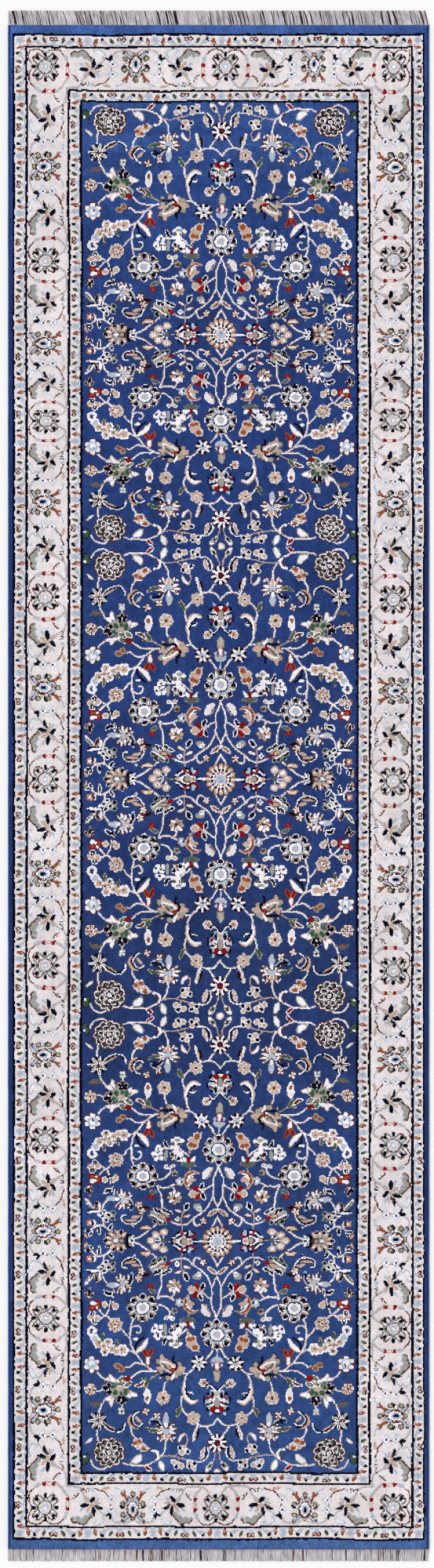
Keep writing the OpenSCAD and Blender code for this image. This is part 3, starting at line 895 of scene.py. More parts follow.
def border_unit():
    """Draws the main border's half unit."""
    c = Cartoon.blank(BORDER_L, BORDER_W, IVORY)
    arc = curve([(5, 9), (16, 5), (27, 5), (38, 8), (44, 16)])
    brush(c, SKY, beside(arc, 0.9), 1.3)
    brush(c, TAN, beside(arc, -0.8), 0.9)
    arc = curve([(57, 20), (66, 28), (74, 32)])
    brush(c, SKY, arc, 1.5)
    brush(c, TAN, beside(arc, 1.0), 0.8)
    arc = curve([(88, 50), (99, 58), (105, 69), (113, 76), (135, 77), (150, 74), (160, 62)])
    brush(c, SKY, arc, 2.0)
    brush(c, TAN, beside(arc, 1.2), 1.1)
    arc = curve([(128, 57), (134, 66), (142, 75)])
    brush(c, SKY, arc, 2.4)
    brush(c, TAN, beside(arc, -1.2), 1.3)
    border_palmette(c)
    leaf(c, (46, 12), (47, 28), 7.6, NAVY, NAVY, rim=0.0)
    leaf(c, (47, 24), (57, 18), 4.4, NAVY, NAVY, rim=0.0)
    stroke(c, SKY, 1.4, (58, 13), (60, 9), (70, 3), (80, 6), (75, 9))
    stroke(c, WHITE, 1.6, (62, 10), (70, 6), (76, 6))
    stroke(c, SKY, 1.4, (58, 13), (62, 17), (60, 21))
    for v in (31, 50.5):
        for u0, v0, u1, v1 in ((36, v, 51, v), (44, v - 7, 44, v + 7)):
            leaf(c, (u0, v0), (u1, v1), 6.5, WHITE, SKY, rim=1.6)
        disc(c, WHITE, 44, v, 4.4)
        disc(c, NAVY, 44, v, 2.3, 2.0)
    disc(c, RUST, 46.6, 40.5, 1.5, 3.0)
    stroke(c, BROWN, 1.3, (50, 57), (59, 66), (68, 69), (78, 73))
    disc(c, TAN, 55, 72.5, 8, 3.0, -8)
    disc(c, SKY, 83, 70, 3.6, 3.4)
    disc(c, WHITE, 93, 70, 5.5, 4.5)
    for u in (90.5, 95):
        stroke(c, NAVY, 1.0, (u, 66.5), (u + 0.8, 70), (u - 1.2, 73))
    stroke(c, BROWN, 1.1, (98, 70), (102, 72), (106, 69))
    disc(c, TAN, 84, 40, 6, 4.5)
    leaf(c, (79.5, 20), (82.5, 38), 8.6, SLATE, SLATE, rim=0.0)
    leaf(c, (79, 19), (80.5, 38), 7.0, NAVY, NAVY, rim=0.0)
    leaf(c, (61, 33), (78, 42), 7.0, NAVY, NAVY, bend=-2, rim=0.0)
    leaf(c, (66, 37), (77, 42), 2.6, SLATE, SLATE, bend=-1, rim=0.0)
    leaf(c, (90, 42), (108, 40), 9.0, NAVY, NAVY, rim=0.0)
    leaf(c, (77, 56), (90, 46), 8.4, NAVY, NAVY, rim=0.0)
    leaf(c, (88, 38), (95, 28), 6.0, TAN, TAN, rim=0.6)
    leaf(c, (66, 44), (80, 46), 3.6, TAN, TAN, rim=0.6)
    leaf(c, (99, 36), (108, 29), 4.0, SKY, SKY, rim=0.6)
    leaf(c, (69, 54), (76, 48), 5.0, SKY, SKY, rim=0.6)
    leaf(c, (90, 47), (99, 55), 6.0, TAN, SKY)
    body = ((86, 20), (95, 12), (101, 7), (110, 11), (119, 13))
    for k, width in enumerate((5.5, 8, 8.5, 6.5, 4)):
        leaf(c, (body[k][0] - 1, body[k][1] - 3), (body[k][0] + 2, body[k][1] + width), width + 3, GREY, SKY,
             rim=0.9)
    leaf(c, (87, 20), (106, 9), 8, GREY, GREY, rim=0.0)
    stroke(c, BROWN, 1.4, (84, 20), (92, 11), (100, 3.5), (109, 7), (119, 8), (122, 13))
    leaf(c, (129, 28), (134, 14), 5.6, SKY, TAN, rim=0.8)
    for v in (32, 51):
        disc(c, RED, 129, v, 3.6, 3.0, 20)
        disc(c, RED, 127, v + 3, 2.0, 2.6)
        disc(c, RED, 131.5, v + 2, 2.0, 2.8)
    for side in (-1, 1):
        stroke(c, TAN, 1.0, (129 + side, 37), (129 + 3 * side, 43), (129 + 1.5 * side, 48))
    stroke(c, BROWN, 1.3, (121, 52), (114, 58), (111, 64))
    disc(c, BROWN, 117, 60, 1.4)
    stroke(c, BROWN, 1.3, (137, 13), (143, 6), (152, 3.4), (161, 4.4), (168, 9))
    border_rosette(c, BORDER_L, 36)
    return c


# ---- The guards' half unit --------------------------------------------------------------------
GUARD_L, GUARD_W = 60.0, 19.0


def guard_unit():
    """Draws half of a guard stripe's repeat: u along it between two flowers, v from its outer edge."""
    c = Cartoon.blank(GUARD_L, GUARD_W, IVORY)
    line = curve([(0, 16.0), (14, 16.8), (24, 15.4), (34, 11.5), (42, 12.5), (50, 16.5), (60, 16.0)])
    brush(c, SKY, line, 1.1)
    leaf(c, (25, 14), (35, 9), 6.0, SKY, TAN, rim=0.8)
    for side in (-1, 1):
        stroke(c, BROWN, 1.4, (side * 1.0, 5.0), (side * 5, 3.8), (side * 6.6, 8.0), (side * 3.5, 9.5))
    disc(c, RUST, 0, 7.0, 2.4, 1.8)
    disc(c, SKY, 0, 12.0, 4.0, 3.0)
    leaf(c, (14.5, 13.5), (20, 4.5), 5.6, GREEN, TAN, rim=0.7)
    disc(c, NAVY, 34, 6.0, 3.2, 2.9)
    disc(c, NAVY, 36, 8.6, 1.8)
    leaf(c, (45, 5), (47.5, 17), 5.8, RUST, BROWN, rim=0.6)
    stroke(c, TAN, 1.0, (42, 16), (46, 13), (50, 15.5))
    dots(c, SKY, around(GUARD_L, 9.5, 4.6, 6), 3.2, 2.4)
    disc(c, TAN, GUARD_L, 9.5, 2.6)
    return c


# ---- Knots ------------------------------------------------------------------------------------
KNOT = 1.9
ZONES = ("outer_band_pile", "outer_line_pile", "outer_guard_pile", "border_outer_line_pile",
         "main_border_pile",
         "border_inner_line_pile", "inner_guard_pile", "inner_line_pile", "field_pile")
BAND, GUARD_OUT, BORDER, GUARD_IN, FIELD = 0, 2, 4, 6, 8
zone_boxes = [np.array(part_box(name)) / MM for name in ZONES]
PILE_LOW, PILE_HIGH = zone_boxes[0][0], zone_boxes[0][1]
COLUMNS = round((PILE_HIGH[0] - PILE_LOW[0]) / KNOT)
ROWS = round((PILE_HIGH[1] - PILE_LOW[1]) / KNOT)

# The lengths of the repeats as woven, from the far end: no two are quite the same.
FIELD_REPEATS = (450, 407, 451, 456, 436, 446)
LEFT_REPEATS = (192, 184, 158, 148, 155, 185, 174, 176, 183, 175, 174, 163, 176, 167, 177, 188)
RIGHT_REPEATS = (195, 177, 156, 151, 160, 186, 176, 173, 188, 178, 168, 167, 181, 170, 170, 174)
FAR_REPEATS = (168, 172, 173, 150)
NEAR_REPEATS = (168, 160, 170, 165)


def drift(x, y, wave, amount, seed):
    """Smooth irregularity: a few crossing waves about one wavelength."""
    waves = np.random.default_rng(seed)
    total = np.zeros(np.broadcast(x, y).shape)
    count = 7
    for angle, phase, stretch in zip(waves.uniform(0, 2 * math.pi, count),
                                     waves.uniform(0, 2 * math.pi, count),
                                     waves.uniform(0.6, 1.7, count)):
        total += np.sin((x * math.cos(angle) + y * math.sin(angle)) * 2 * math.pi / (wave * stretch) + phase)
    return amount * total / math.sqrt(count)


def fold(place, low, high, repeats, first, length):
    """Where a place between low and high falls in a repeat that is mirrored at each of its ends."""
    ends = np.concatenate([[0], np.cumsum(repeats)]).astype(float)
    ends = low + ends * (high - low) / ends[-1]
    index = np.clip(np.searchsorted(ends, place) - 1, 0, len(repeats) - 1)
    share = np.abs((place - ends[index]) / (ends[index + 1] - ends[index]))
    share = np.where(share > 1, 2 - share, share)
    return length * np.where((index + first) % 2, 1 - share, share)


def zone_depths(zone, x, y):
    """Distance in from the zone's outer edge at the sides and at the ends."""
    low, high = zone_boxes[zone]
    return np.minimum(x - low[0], high[0] - x), np.minimum(y - low[1], high[1] - y)


def weave_field(x, y):
    low, high = zone_boxes[FIELD]
    half = (high[0] - low[0]) / 2
    u = (half - np.abs(x)) * TILE_W / half
    v = fold(-y, -high[1], -low[1], FIELD_REPEATS, 0, TILE_L)
    return field_tile().pick(u, v)


def weave_ring(zone, x, y, cartoon, corner, repeats, length, width):
    """The yarns of a patterned border, mitred at its corners. corner is how deep its corner flower lies."""
    # The first repeat of every side is drawn from its end to its start.
    first = 1
    low, high = zone_boxes[zone]
    inner_low, inner_high = zone_boxes[zone + 1]
    side, end = zone_depths(zone, x, y)
    side_width, end_width = inner_low[0] - low[0], inner_low[1] - low[1]
    side, end = side * width / side_width, end * width / end_width
    inset = corner / width * np.array([side_width, end_width])
    left, right, far, near = repeats
    run_y = -high[1] + inset[1], -low[1] - inset[1]
    run_x = low[0] + inset[0], high[0] - inset[0]
    along_side = np.where(x < 0, fold(-y, *run_y, left, first, length),
                          fold(-y, *run_y, right, first, length))
    along_end = np.where(y > 0, fold(x, *run_x, far, first, length), fold(x, *run_x, near, first, length))
    return np.where(side < end, cartoon.pick(along_side, side), cartoon.pick(along_end, end))


def even(count):
    """Repeats of one length."""
    return (1,) * count


def knot_places():
    """The middle of every knot across the pile, as a table of x and one of y."""
    return np.meshgrid(PILE_LOW[0] + (np.arange(COLUMNS) + 0.5) * (PILE_HIGH[0] - PILE_LOW[0]) / COLUMNS,
                       PILE_LOW[1] + (np.arange(ROWS) + 0.5) * (PILE_HIGH[1] - PILE_LOW[1]) / ROWS)


# The weave pulled the borders a little to one side: where a line lies across the rug, and where it was drawn.
WOVEN_X = (-401.5, -395.8, -370.2, -289.2, -264.6, 4.5, 267.7, 291.6, 374.0, 397.0, 401.5)
DRAWN_X = (-401.5, -394.0, -372.5, -290.5, -269.0, 0.0, 269.0, 290.5, 372.5, 394.0, 401.5)

# The field's middle line wanders: how far along the rug, and how far it lies beyond the drawn one.
MIDDLE_Y = (-1277.0, -974.0, -823.0, -671.0, -520.0, 86.0, 1297.0)
MIDDLE_X = (-7.5, -8.3, -6.8, -3.7, -1.5, 0.0, 1.5)


# How far the dark tufts of an edging line lean over its neighbours.
LINE_SPREAD = 0.85


def weave():
    """The zone and the yarn of every knot, as two tables of rows from the near end."""
    x, y = knot_places()
    x = np.interp(x, WOVEN_X, DRAWN_X)
    half_field = DRAWN_X[6]
    x = x - np.interp(y, MIDDLE_Y, MIDDLE_X) * np.clip(1 - np.abs(x) / half_field, 0, 1)
    x = x + drift(x, y, 180, 0.8, 1) + drift(x, y, 14, 0.45, 2)
    y = y + drift(x, y, 180, 1.0, 3) + drift(x, y, 14, 0.35, 4)
    zones = np.zeros(x.shape, np.int8)
    for zone in range(1, len(ZONES)):
        side, end = zone_depths(zone, x, y)
        zones[np.minimum(side, end) > 0] = zone
    yarns = np.full(x.shape, NAVY, np.uint8)
    yarns[zones == BAND] = BLUE
    inside = zones == FIELD
    yarns[inside] = weave_field(x[inside], y[inside])
    guard = guard_unit()
    patterned = ((BORDER, border_unit(), 36.0, (LEFT_REPEATS, RIGHT_REPEATS, FAR_REPEATS, NEAR_REPEATS)),
                 (GUARD_OUT, guard, 9.5, (even(52), even(52), even(12), even(12))),
                 (GUARD_IN, guard, 9.5, (even(48), even(48), even(8), even(8))))
    for zone, cartoon, corner, repeats in patterned:
        inside = zones == zone
        size = (BORDER_L, BORDER_W) if zone == BORDER else (GUARD_L, GUARD_W)
        yarns[inside] = weave_ring(zone, x[inside], y[inside], cartoon, corner, repeats, *size)
    for line in (1, 3, 5, 7):
        beyond, within = (np.minimum(*zone_depths(zone, x, y)) for zone in (line, line + 1))
        yarns[(beyond > -LINE_SPREAD) & (within < LINE_SPREAD)] = NAVY
    return zones, yarns


# ---- Materials --------------------------------------------------------------------------------
# Yarn colours as seen in daylight, as red, green and blue from 0 to 255, and whether the yarn is silk.
YARNS = {
    BLUE: ("wool_blue", (46, 70, 126), False), NAVY: ("wool_navy", (8, 7, 28), False),
    IVORY: ("silk_ivory", (224, 216, 218), True), WHITE: ("silk_white", (237, 233, 238), True),
    TAN: ("wool_tan", (190, 163, 147), False), RUST: ("wool_rust", (146, 78, 48), False),
    BROWN: ("wool_brown", (88, 42, 24), False), RED: ("wool_red", (130, 12, 22), False),
    GREEN: ("wool_green", (58, 84, 64), False), GREY: ("wool_grey", (152, 153, 146), False),
    SKY: ("silk_sky", (168, 184, 205), True), SLATE: ("wool_slate", (84, 92, 88), False),
}


def linear(colour):
    """A screen colour from 0 to 255 as the linear colour a shader takes."""
    shares = [part / 255 for part in colour]
    return tuple(x / 12.92 if x <= 0.04045 else ((x + 0.055) / 1.055) ** 2.4 for x in shares) + (1,)


class Shader:
    """A node material in the making, on the object's own coordinates in metres."""

    def __init__(self, name, roughness, sheen, gloss=0.06):
        self.material = bpy.data.materials.new(name)
        self.material.use_nodes = True
        self.nodes, self.links = self.material.node_tree.nodes, self.material.node_tree.links
        self.shader = self.nodes["Principled BSDF"]
        self.shader.inputs["Roughness"].default_value = roughness
        self.shader.inputs["Sheen Weight"].default_value = sheen
        self.shader.inputs["Sheen Roughness"].default_value = 0.3
        self.shader.inputs["Specular IOR Level"].default_value = gloss
        self.place = self.nodes.new("ShaderNodeTexCoord").outputs["Object"]

    def node(self, kind, inputs=None, **settings):
        made = self.nodes.new(kind)
        for name, value in settings.items():
            setattr(made, name, value)
        for name, value in (inputs or {}).items():
            if isinstance(value, bpy.types.NodeSocket):
                self.links.new(value, made.inputs[name])
            else:
                made.inputs[name].default_value = value
        return made

    def stretched(self, across, along, up=None):
        """The coordinates scaled by cycles per metre in each direction."""
        scale = (across, along, up or across)
        return self.node("ShaderNodeMapping", {"Vector": self.place, "Scale": scale}).outputs[0]

    def noise(self, place, detail=2.0, rough=0.5):
        inputs = {"Vector": place, "Scale": 1.0, "Detail": detail, "Roughness": rough}
        return self.node("ShaderNodeTexNoise", inputs).outputs["Fac"]

    def spread(self, value, low, high, low_in=0.3, high_in=0.7):
        """The value's middle range as a factor from low to high."""
        return self.node("ShaderNodeMapRange", {"Value": value, "From Min": low_in, "From Max": high_in,
                                                "To Min": low, "To Max": high}).outputs[0]

    def times(self, *values):
        product = values[0]
        for value in values[1:]:
            product = self.node("ShaderNodeMath", {0: product, 1: value}, operation="MULTIPLY").outputs[0]
        return product

    def tint(self, colour, factor):
        """The colour, lighter or darker by the factor."""
        return self.node("ShaderNodeVectorMath", {0: colour, "Scale": factor}, operation="SCALE").outputs[0]

    def relief(self, height, strength, distance):
        bump = self.node("ShaderNodeBump", {"Height": height, "Strength": strength, "Distance": distance})
        self.links.new(bump.outputs[0], self.shader.inputs["Normal"])

    def finish(self, colour, roughness=None):
        self.links.new(colour, self.shader.inputs["Base Color"])
        if roughness is not None:
            self.links.new(roughness, self.shader.inputs["Roughness"])
        return self.material


# How the blue's dye lots and painted light change along the length: (share of the pile's length from the near
# end, colour).
# Painted light makes the blue lighter towards both ends.
BLUE_DYE_AND_LIGHT = ((0.00, (70, 98, 152)), (0.04, (52, 78, 134)), (0.08, (46, 70, 122)), (0.17, (44, 67, 120)),
          (0.25, (41, 62, 113)), (0.33, (37, 55, 102)), (0.40, (37, 55, 101)), (0.49, (39, 59, 112)),
          (0.60, (39, 60, 114)), (0.79, (38, 59, 114)), (0.90, (44, 68, 125)), (1.00, (62, 92, 154)))


# How far the edges of these bands of dye and painted light wander, as a share of the length.
BAND_WANDER = 0.035


def pile_material(yarn):
    """Clipped pile of one yarn: tufts a knot wide, fibres, bands of dye lots and painted light, and patches
    of painted shade.
    """
    name, colour, silk = YARNS[yarn]
    s = Shader(name, 0.55 if silk else 0.9, 0.12, 0.2 if silk else 0.05)
    s.shader.inputs["Sheen Tint"].default_value = linear([(255 + 2 * part) / 3 for part in colour])
    # The blue follows those bands of dye lots and painted light along the length.
    if yarn == BLUE:
        along = s.node("ShaderNodeSeparateXYZ", {0: s.place}).outputs[1]
        share = s.spread(along, 0.0, 1.0, PILE_LOW[1] * MM, PILE_HIGH[1] * MM)
        wander = s.spread(s.noise(s.stretched(1.5, 28)), -BAND_WANDER, BAND_WANDER)
        share = s.node("ShaderNodeMath", {0: share, 1: wander}, operation="ADD").outputs[0]
        ramp = s.node("ShaderNodeValToRGB", {"Fac": share})
        while len(ramp.color_ramp.elements) < len(BLUE_DYE_AND_LIGHT):
            ramp.color_ramp.elements.new(0.5)
        for stop, (position, tone) in zip(ramp.color_ramp.elements, BLUE_DYE_AND_LIGHT):
            stop.position = position
            stop.color = linear(tone)
        base = ramp.outputs[0]
    else:
        base = s.node("ShaderNodeRGB").outputs[0]
        base.default_value = linear(colour)
    knots = 1 / (KNOT * MM)
    tufts = s.node("ShaderNodeTexVoronoi", {"Vector": s.stretched(knots, knots, 60), "Scale": 1.0,
                                            "Randomness": 0.7})
    tone = s.node("ShaderNodeSeparateColor", {0: tufts.outputs["Color"]}).outputs[0]
    fibres = s.noise(s.stretched(1500, 1500), 2)
    # Painted shade: the pile is lighter and darker in small and large patches, as if laid different ways to
    # the light.
    lie_shade = s.noise(s.stretched(95, 60), 3, 0.6)
    nap_shade = s.noise(s.stretched(14, 9), 3, 0.55)
    rows = s.noise(s.stretched(4, 260), 2)
    depth = 1.5 if yarn in (BLUE, NAVY) else 0.6
    low, high = 1 - 0.16 * depth, 1 + 0.16 * depth
    factor = s.times(s.spread(tone, low, high, 0, 1), s.spread(fibres, 0.92, 1.08), s.spread(lie_shade, low, high),
                     s.spread(nap_shade, 1 - 0.14 * depth, high), s.spread(rows, 0.96, 1.04))
    height = s.node("ShaderNodeMath", {0: tufts.outputs["Distance"], 1: s.spread(fibres, -0.15, 0.15)},
                    operation="SUBTRACT").outputs[0]
    height = s.times(height, -1.0)
    s.relief(height, 0.5, 0.0006)
    return s.finish(s.tint(base, factor), s.spread(lie_shade, 0.5, 0.7) if silk else s.spread(lie_shade, 0.85, 0.98))


def yarn_material(name, colour, turns, sheen=0.15, spread=0.12, lean=0.5):
    """Bare yarn: fine slanted plies, fibres and uneven tone. turns are plies per metre along X and Y."""
    s = Shader(name, 0.85, sheen)
    slanted = s.node("ShaderNodeMapping", {"Vector": s.place, "Rotation": (0, 0, lean),
                                           "Scale": (*turns, 300)})
    slanted = slanted.outputs[0]
    plies = s.node("ShaderNodeTexWave", {"Vector": slanted, "Scale": 1.0, "Distortion": 2.0, "Detail": 1.0})
    fibres = s.noise(s.stretched(1400, 1400), 2)
    patches = s.noise(s.stretched(60, 40), 3)
    base = s.node("ShaderNodeRGB").outputs[0]
    base.default_value = linear(colour)
    factor = s.times(s.spread(plies.outputs["Fac"], 1 - spread, 1 + spread / 2, 0, 1),
                     s.spread(fibres, 0.93, 1.07),
                     s.spread(patches, 1 - spread, 1 + spread))
    height = s.node("ShaderNodeMath", {0: plies.outputs["Fac"], 1: s.spread(fibres, -0.3, 0.3)},
                    operation="ADD")
    s.relief(height.outputs[0], 0.4, 0.0003)
    return s.finish(s.tint(base, factor), s.spread(patches, 0.8, 0.95))


# ---- Meshes -----------------------------------------------------------------------------------
def add_piece(name, points, faces, materials, slots, node):
    """Makes one piece from points in millimetres and faces of four corners, each with a material slot."""
    mesh = bpy.data.meshes.new(name)
    points = np.asarray(points, np.float32) * MM
    faces = np.asarray(faces, np.int32)
    mesh.vertices.add(len(points))
    mesh.vertices.foreach_set("co", points.ravel())
    mesh.loops.add(faces.size)
    mesh.loops.foreach_set("vertex_index", faces.ravel())
    mesh.polygons.add(len(faces))
    mesh.polygons.foreach_set("loop_start", np.arange(len(faces), dtype=np.int32) * 4)
    mesh.polygons.foreach_set("use_smooth", np.ones(len(faces), bool))
    for material in materials:
        mesh.materials.append(material)
    mesh.polygons.foreach_set("material_index", np.asarray(slots, np.int32))
    mesh.update(calc_edges=True)
    mesh.validate()
    piece = bpy.data.objects.new(name, mesh)
    bpy.context.collection.objects.link(piece)
    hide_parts(node)
    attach(piece, "root")
    return piece


PILE_TOP = zone_boxes[FIELD][1][2] - 0.3
PILE_FOOT = zone_boxes[FIELD][0][2]
EDGE_ROUND = 4.0

# How far the design's yarns and its darkest yarns sink below the grounds, and how uneven the clipping is.
DESIGN_SINK, DARK_SINK = 0.35, 0.75
KNOT_UNEVEN, CORNER_UNEVEN, CORNER_SHIFT = 0.16, 0.07, 0.26


def height_grid(yarns):
    """The pile's height at each corner between knots."""
    lift = np.full(len(YARNS), PILE_TOP - DESIGN_SINK)
    lift[[BLUE, IVORY]] = PILE_TOP
    lift[[NAVY, BROWN]] = PILE_TOP - DARK_SINK
    knots = lift[yarns] + rng.normal(0, KNOT_UNEVEN, yarns.shape)
    padded = np.pad(knots, 1, mode="edge")
    corners = (padded[:-1, :-1] + padded[1:, :-1] + padded[:-1, 1:] + padded[1:, 1:]) / 4
    corners += rng.normal(0, CORNER_UNEVEN, corners.shape)
    edge_x = np.minimum(np.arange(COLUMNS + 1), COLUMNS - np.arange(COLUMNS + 1)) * KNOT
    edge_y = np.minimum(np.arange(ROWS + 1), ROWS - np.arange(ROWS + 1)) * KNOT
    edge = np.minimum(edge_x[None, :], edge_y[:, None])
    round_off = np.clip(1 - edge / EDGE_ROUND, 0, 1)
    return corners - EDGE_ROUND * 0.6 * (1 - np.sqrt(1 - round_off ** 2))


def pile_piece(name, mask, node):
    """One piece of pile over the knots in the mask, with its own walls down to the ground weave."""
    cells = np.argwhere(mask)
    width = COLUMNS + 1
    corner = cells[:, 0] * width + cells[:, 1]
    top = np.stack([corner, corner + 1, corner + 1 + width, corner + width], 1)
    used, top = np.unique(top, return_inverse=True)
    top = top.reshape(-1, 4)
    row, column = used // width, used % width
    points = np.stack([grid_x[row, column], grid_y[row, column], grid_z[row, column]], 1)
    walls, wall_cells = [], []
    padded = np.pad(mask, 1)
    neighbours = (((-1, 0), (0, 1)), ((0, 1), (1, 2)), ((1, 0), (2, 3)), ((0, -1), (3, 0)))
    for (down, across), (a, b) in neighbours:
        open_side = ~padded[cells[:, 0] + 1 + down, cells[:, 1] + 1 + across]
        walls.append(top[open_side][:, [a, b]])
        wall_cells.append(np.flatnonzero(open_side))
    walls, wall_cells = np.vstack(walls), np.concatenate(wall_cells)
    rim, walls = np.unique(walls, return_inverse=True)
    walls = walls.reshape(-1, 2)
    foot = points[rim].copy()
    foot[:, 2] = PILE_FOOT
    start = len(points)
    faces = np.vstack([top, np.stack([walls[:, 1] + start, walls[:, 0] + start,
                                      walls[:, 0] + start + len(rim), walls[:, 1] + start + len(rim)], 1)])
    points = np.vstack([points, points[rim], foot])
    yarns = knot_yarns[cells[:, 0], cells[:, 1]]
    yarns = np.concatenate([yarns, yarns[wall_cells]])
    present, slots = np.unique(yarns, return_inverse=True)
    return add_piece(name, points, faces, [pile_materials[yarn] for yarn in present], slots, node)


def pile_pieces():
    """All pieces of pile. The patterned zones are made in lengths, as the knots are tied row by row."""
    length = np.indices(knot_zones.shape)[0] * LENGTHS // ROWS
    x, y = knot_places()
    for zone, node in enumerate(ZONES):
        mask = knot_zones == zone
        if zone not in (GUARD_OUT, BORDER, GUARD_IN, FIELD):
            pile_piece(node.replace("_pile", ""), mask, node)
            continue
        low, high = zone_boxes[zone]
        if zone == FIELD:
            share = np.clip((y - low[1]) / (high[1] - low[1]) * LENGTHS, 0, LENGTHS - 1)
            parts = {f"field_{k + 1}": mask & (share.astype(int) == k) for k in range(LENGTHS)}
        else:
            inner_low, inner_high = zone_boxes[zone + 1]
            far, near = mask & (y > inner_high[1]), mask & (y < inner_low[1])
            rest = mask & ~far & ~near
            name = node.replace("_pile", "")
            parts = {f"{name}_far": far, f"{name}_near": near}
            for k in range(LENGTHS):
                parts[f"{name}_left_{k + 1}"] = rest & (x < 0) & (length == k)
                parts[f"{name}_right_{k + 1}"] = rest & (x > 0) & (length == k)
        for name, part in parts.items():
            pile_piece(name, part, node)


LENGTHS = 4
knot_zones, knot_yarns = weave()
pile_materials = {yarn: pile_material(yarn) for yarn in YARNS}
grid_x, grid_y = np.meshgrid(np.linspace(PILE_LOW[0], PILE_HIGH[0], COLUMNS + 1),
                             np.linspace(PILE_LOW[1], PILE_HIGH[1], ROWS + 1))
inner = np.s_[1:-1, 1:-1]
grid_x[inner] += rng.normal(0, CORNER_SHIFT, grid_x[inner].shape)
grid_y[inner] += rng.normal(0, CORNER_SHIFT, grid_y[inner].shape)
grid_z = height_grid(knot_yarns)
pile_pieces()


# ---- Ground weave -----------------------------------------------------------------------------
# How far the wefts sink between the knot backs.
WEFT_SINK = 0.35


def ground_back():
    """The rug's underside: the backs of the knots, in the same yarns, between rows of weft."""
    low, high = (np.array(corner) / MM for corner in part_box("wefts_under"))
    starts = np.ones(knot_yarns.shape, bool)
    starts[:, 1:] = knot_yarns[:, 1:] != knot_yarns[:, :-1]
    row, column = np.nonzero(starts)
    run_end = np.append(column[1:], 0)
    run_end[np.append(row[1:] != row[:-1], True)] = COLUMNS
    step_x, step_y = (high[0] - low[0]) / COLUMNS, (high[1] - low[1]) / ROWS
    x0, x1 = low[0] + column * step_x, low[0] + run_end * step_x
    y0 = low[1] + row * step_y
    weft, knot = low[2] + WEFT_SINK, low[2]
    profile = ((0.0, weft), (0.3, knot), (0.7, knot), (1.0, weft))
    points = np.concatenate([np.stack([x, y0 + share * step_y, np.full(len(x0), z)], 1)
                             for share, z in profile for x in (x0, x1)])
    n = len(x0)
    index = np.arange(n)
    faces = np.concatenate([np.stack([index + 2 * k * n, index + (2 * k + 2) * n, index + (2 * k + 3) * n,
                                      index + (2 * k + 1) * n], 1) for k in range(3)])
    present, slots = np.unique(knot_yarns[row, column], return_inverse=True)
    yarns = [pile_materials[yarn] for yarn in present]
    return add_piece("knot_backs", points, faces, yarns, np.tile(slots, 3), "wefts_under")


def ribbed_layer(name, node, material, pitch, along):
    """Parallel yarns side by side as one layer. along is 0 if they run across the rug and 1 if lengthwise."""
    low, high = np.array(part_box(node)) / MM
    side = 1 - along
    count = round((high[side] - low[side]) / pitch)
    steps = 4
    place = np.linspace(low[side], high[side], count * steps + 1)
    wave = np.abs(np.sin(np.arange(len(place)) * math.pi / steps))
    middle, half = (low[2] + high[2]) / 2, (high[2] - low[2]) / 2
    rows = []
    for end in (low[along], high[along]):
        for sign in (1, -1):
            row = np.zeros((len(place), 3))
            row[:, side], row[:, along] = place, end
            row[:, 2] = middle + sign * half * (0.55 + 0.45 * wave)
            rows.append(row)
    n = len(place)
    index = np.arange(n - 1)
    near_top, near_low, far_top, far_low = (k * n for k in range(4))
    faces = [np.stack([a + index, a + index + 1, b + index + 1, b + index], 1)
             for a, b in ((near_top, far_top), (far_low, near_low), (far_top, far_low),
                          (near_low, near_top))]
    first = np.array([near_top, far_top, far_low, near_low])
    faces = np.vstack(faces + [[first, first[[0, 3, 2, 1]] + n - 1]])
    if along == 0:
        faces = faces[:, ::-1]
    return add_piece(name, np.vstack(rows), faces, [material], np.zeros(len(faces)), node)


cotton = yarn_material("cotton_warp", (214, 208, 196), (900, 300))
pale_cotton = yarn_material("cotton_pale_blue", (168, 178, 200), (300, 900))
ground_back()
ribbed_layer("warp_yarns", "warps", cotton, 1.0, 1)
ribbed_layer("weft_yarns", "wefts_over", pale_cotton, KNOT, 0)


# ---- Selvedges --------------------------------------------------------------------------------
def screwed_rod(name, node, material, ridges, turn, step):
    """A rod along Y with a screw surface: its ridges advance turn millimetres in one round."""
    depth, sides = 0.35, 12
    low, high = np.array(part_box(node)) / MM
    centre = (low + high) / 2
    radius = (high[0] - low[0]) / 2
    y = np.linspace(low[1], high[1], round((high[1] - low[1]) / step) + 1)
    angle = np.arange(sides) * 2 * math.pi / sides
    yy, aa = np.meshgrid(y, angle, indexing="ij")
    ridge = np.abs(np.sin((ridges * aa + 2 * math.pi * yy / turn) / 2)) ** 0.7
    r = radius - depth * (1 - ridge) + drift(yy, aa * 5, 30, 0.05, 11)
    wander = drift(y, 0 * y, 60, 0.12, 12)[:, None]
    points = np.stack([centre[0] + wander + r * np.cos(aa), yy, centre[2] + r * np.sin(aa)], 2)
    ring, k = np.meshgrid(np.arange(len(y) - 1) * sides, np.arange(sides), indexing="ij")
    after = (k + 1) % sides
    faces = np.stack([ring + k, ring + k + sides, ring + after + sides, ring + after], 2).reshape(-1, 4)
    return add_piece(name, points.reshape(-1, 3), faces, [material], np.zeros(len(faces)), node)


wrap_wool = yarn_material("selvedge_wool", (54, 79, 136), (500, 500), 0.25, 0.16, 1.2)
for side in ("left", "right"):
    wrap, cord = f"selvedge_wrap_{side}", f"selvedge_cord_{side}"
    screwed_rod(f"{wrap}_turns", wrap, wrap_wool, 1, 2.3, 0.6)
    screwed_rod(f"{cord}_plies", cord, cotton, 3, 24, 2.0)


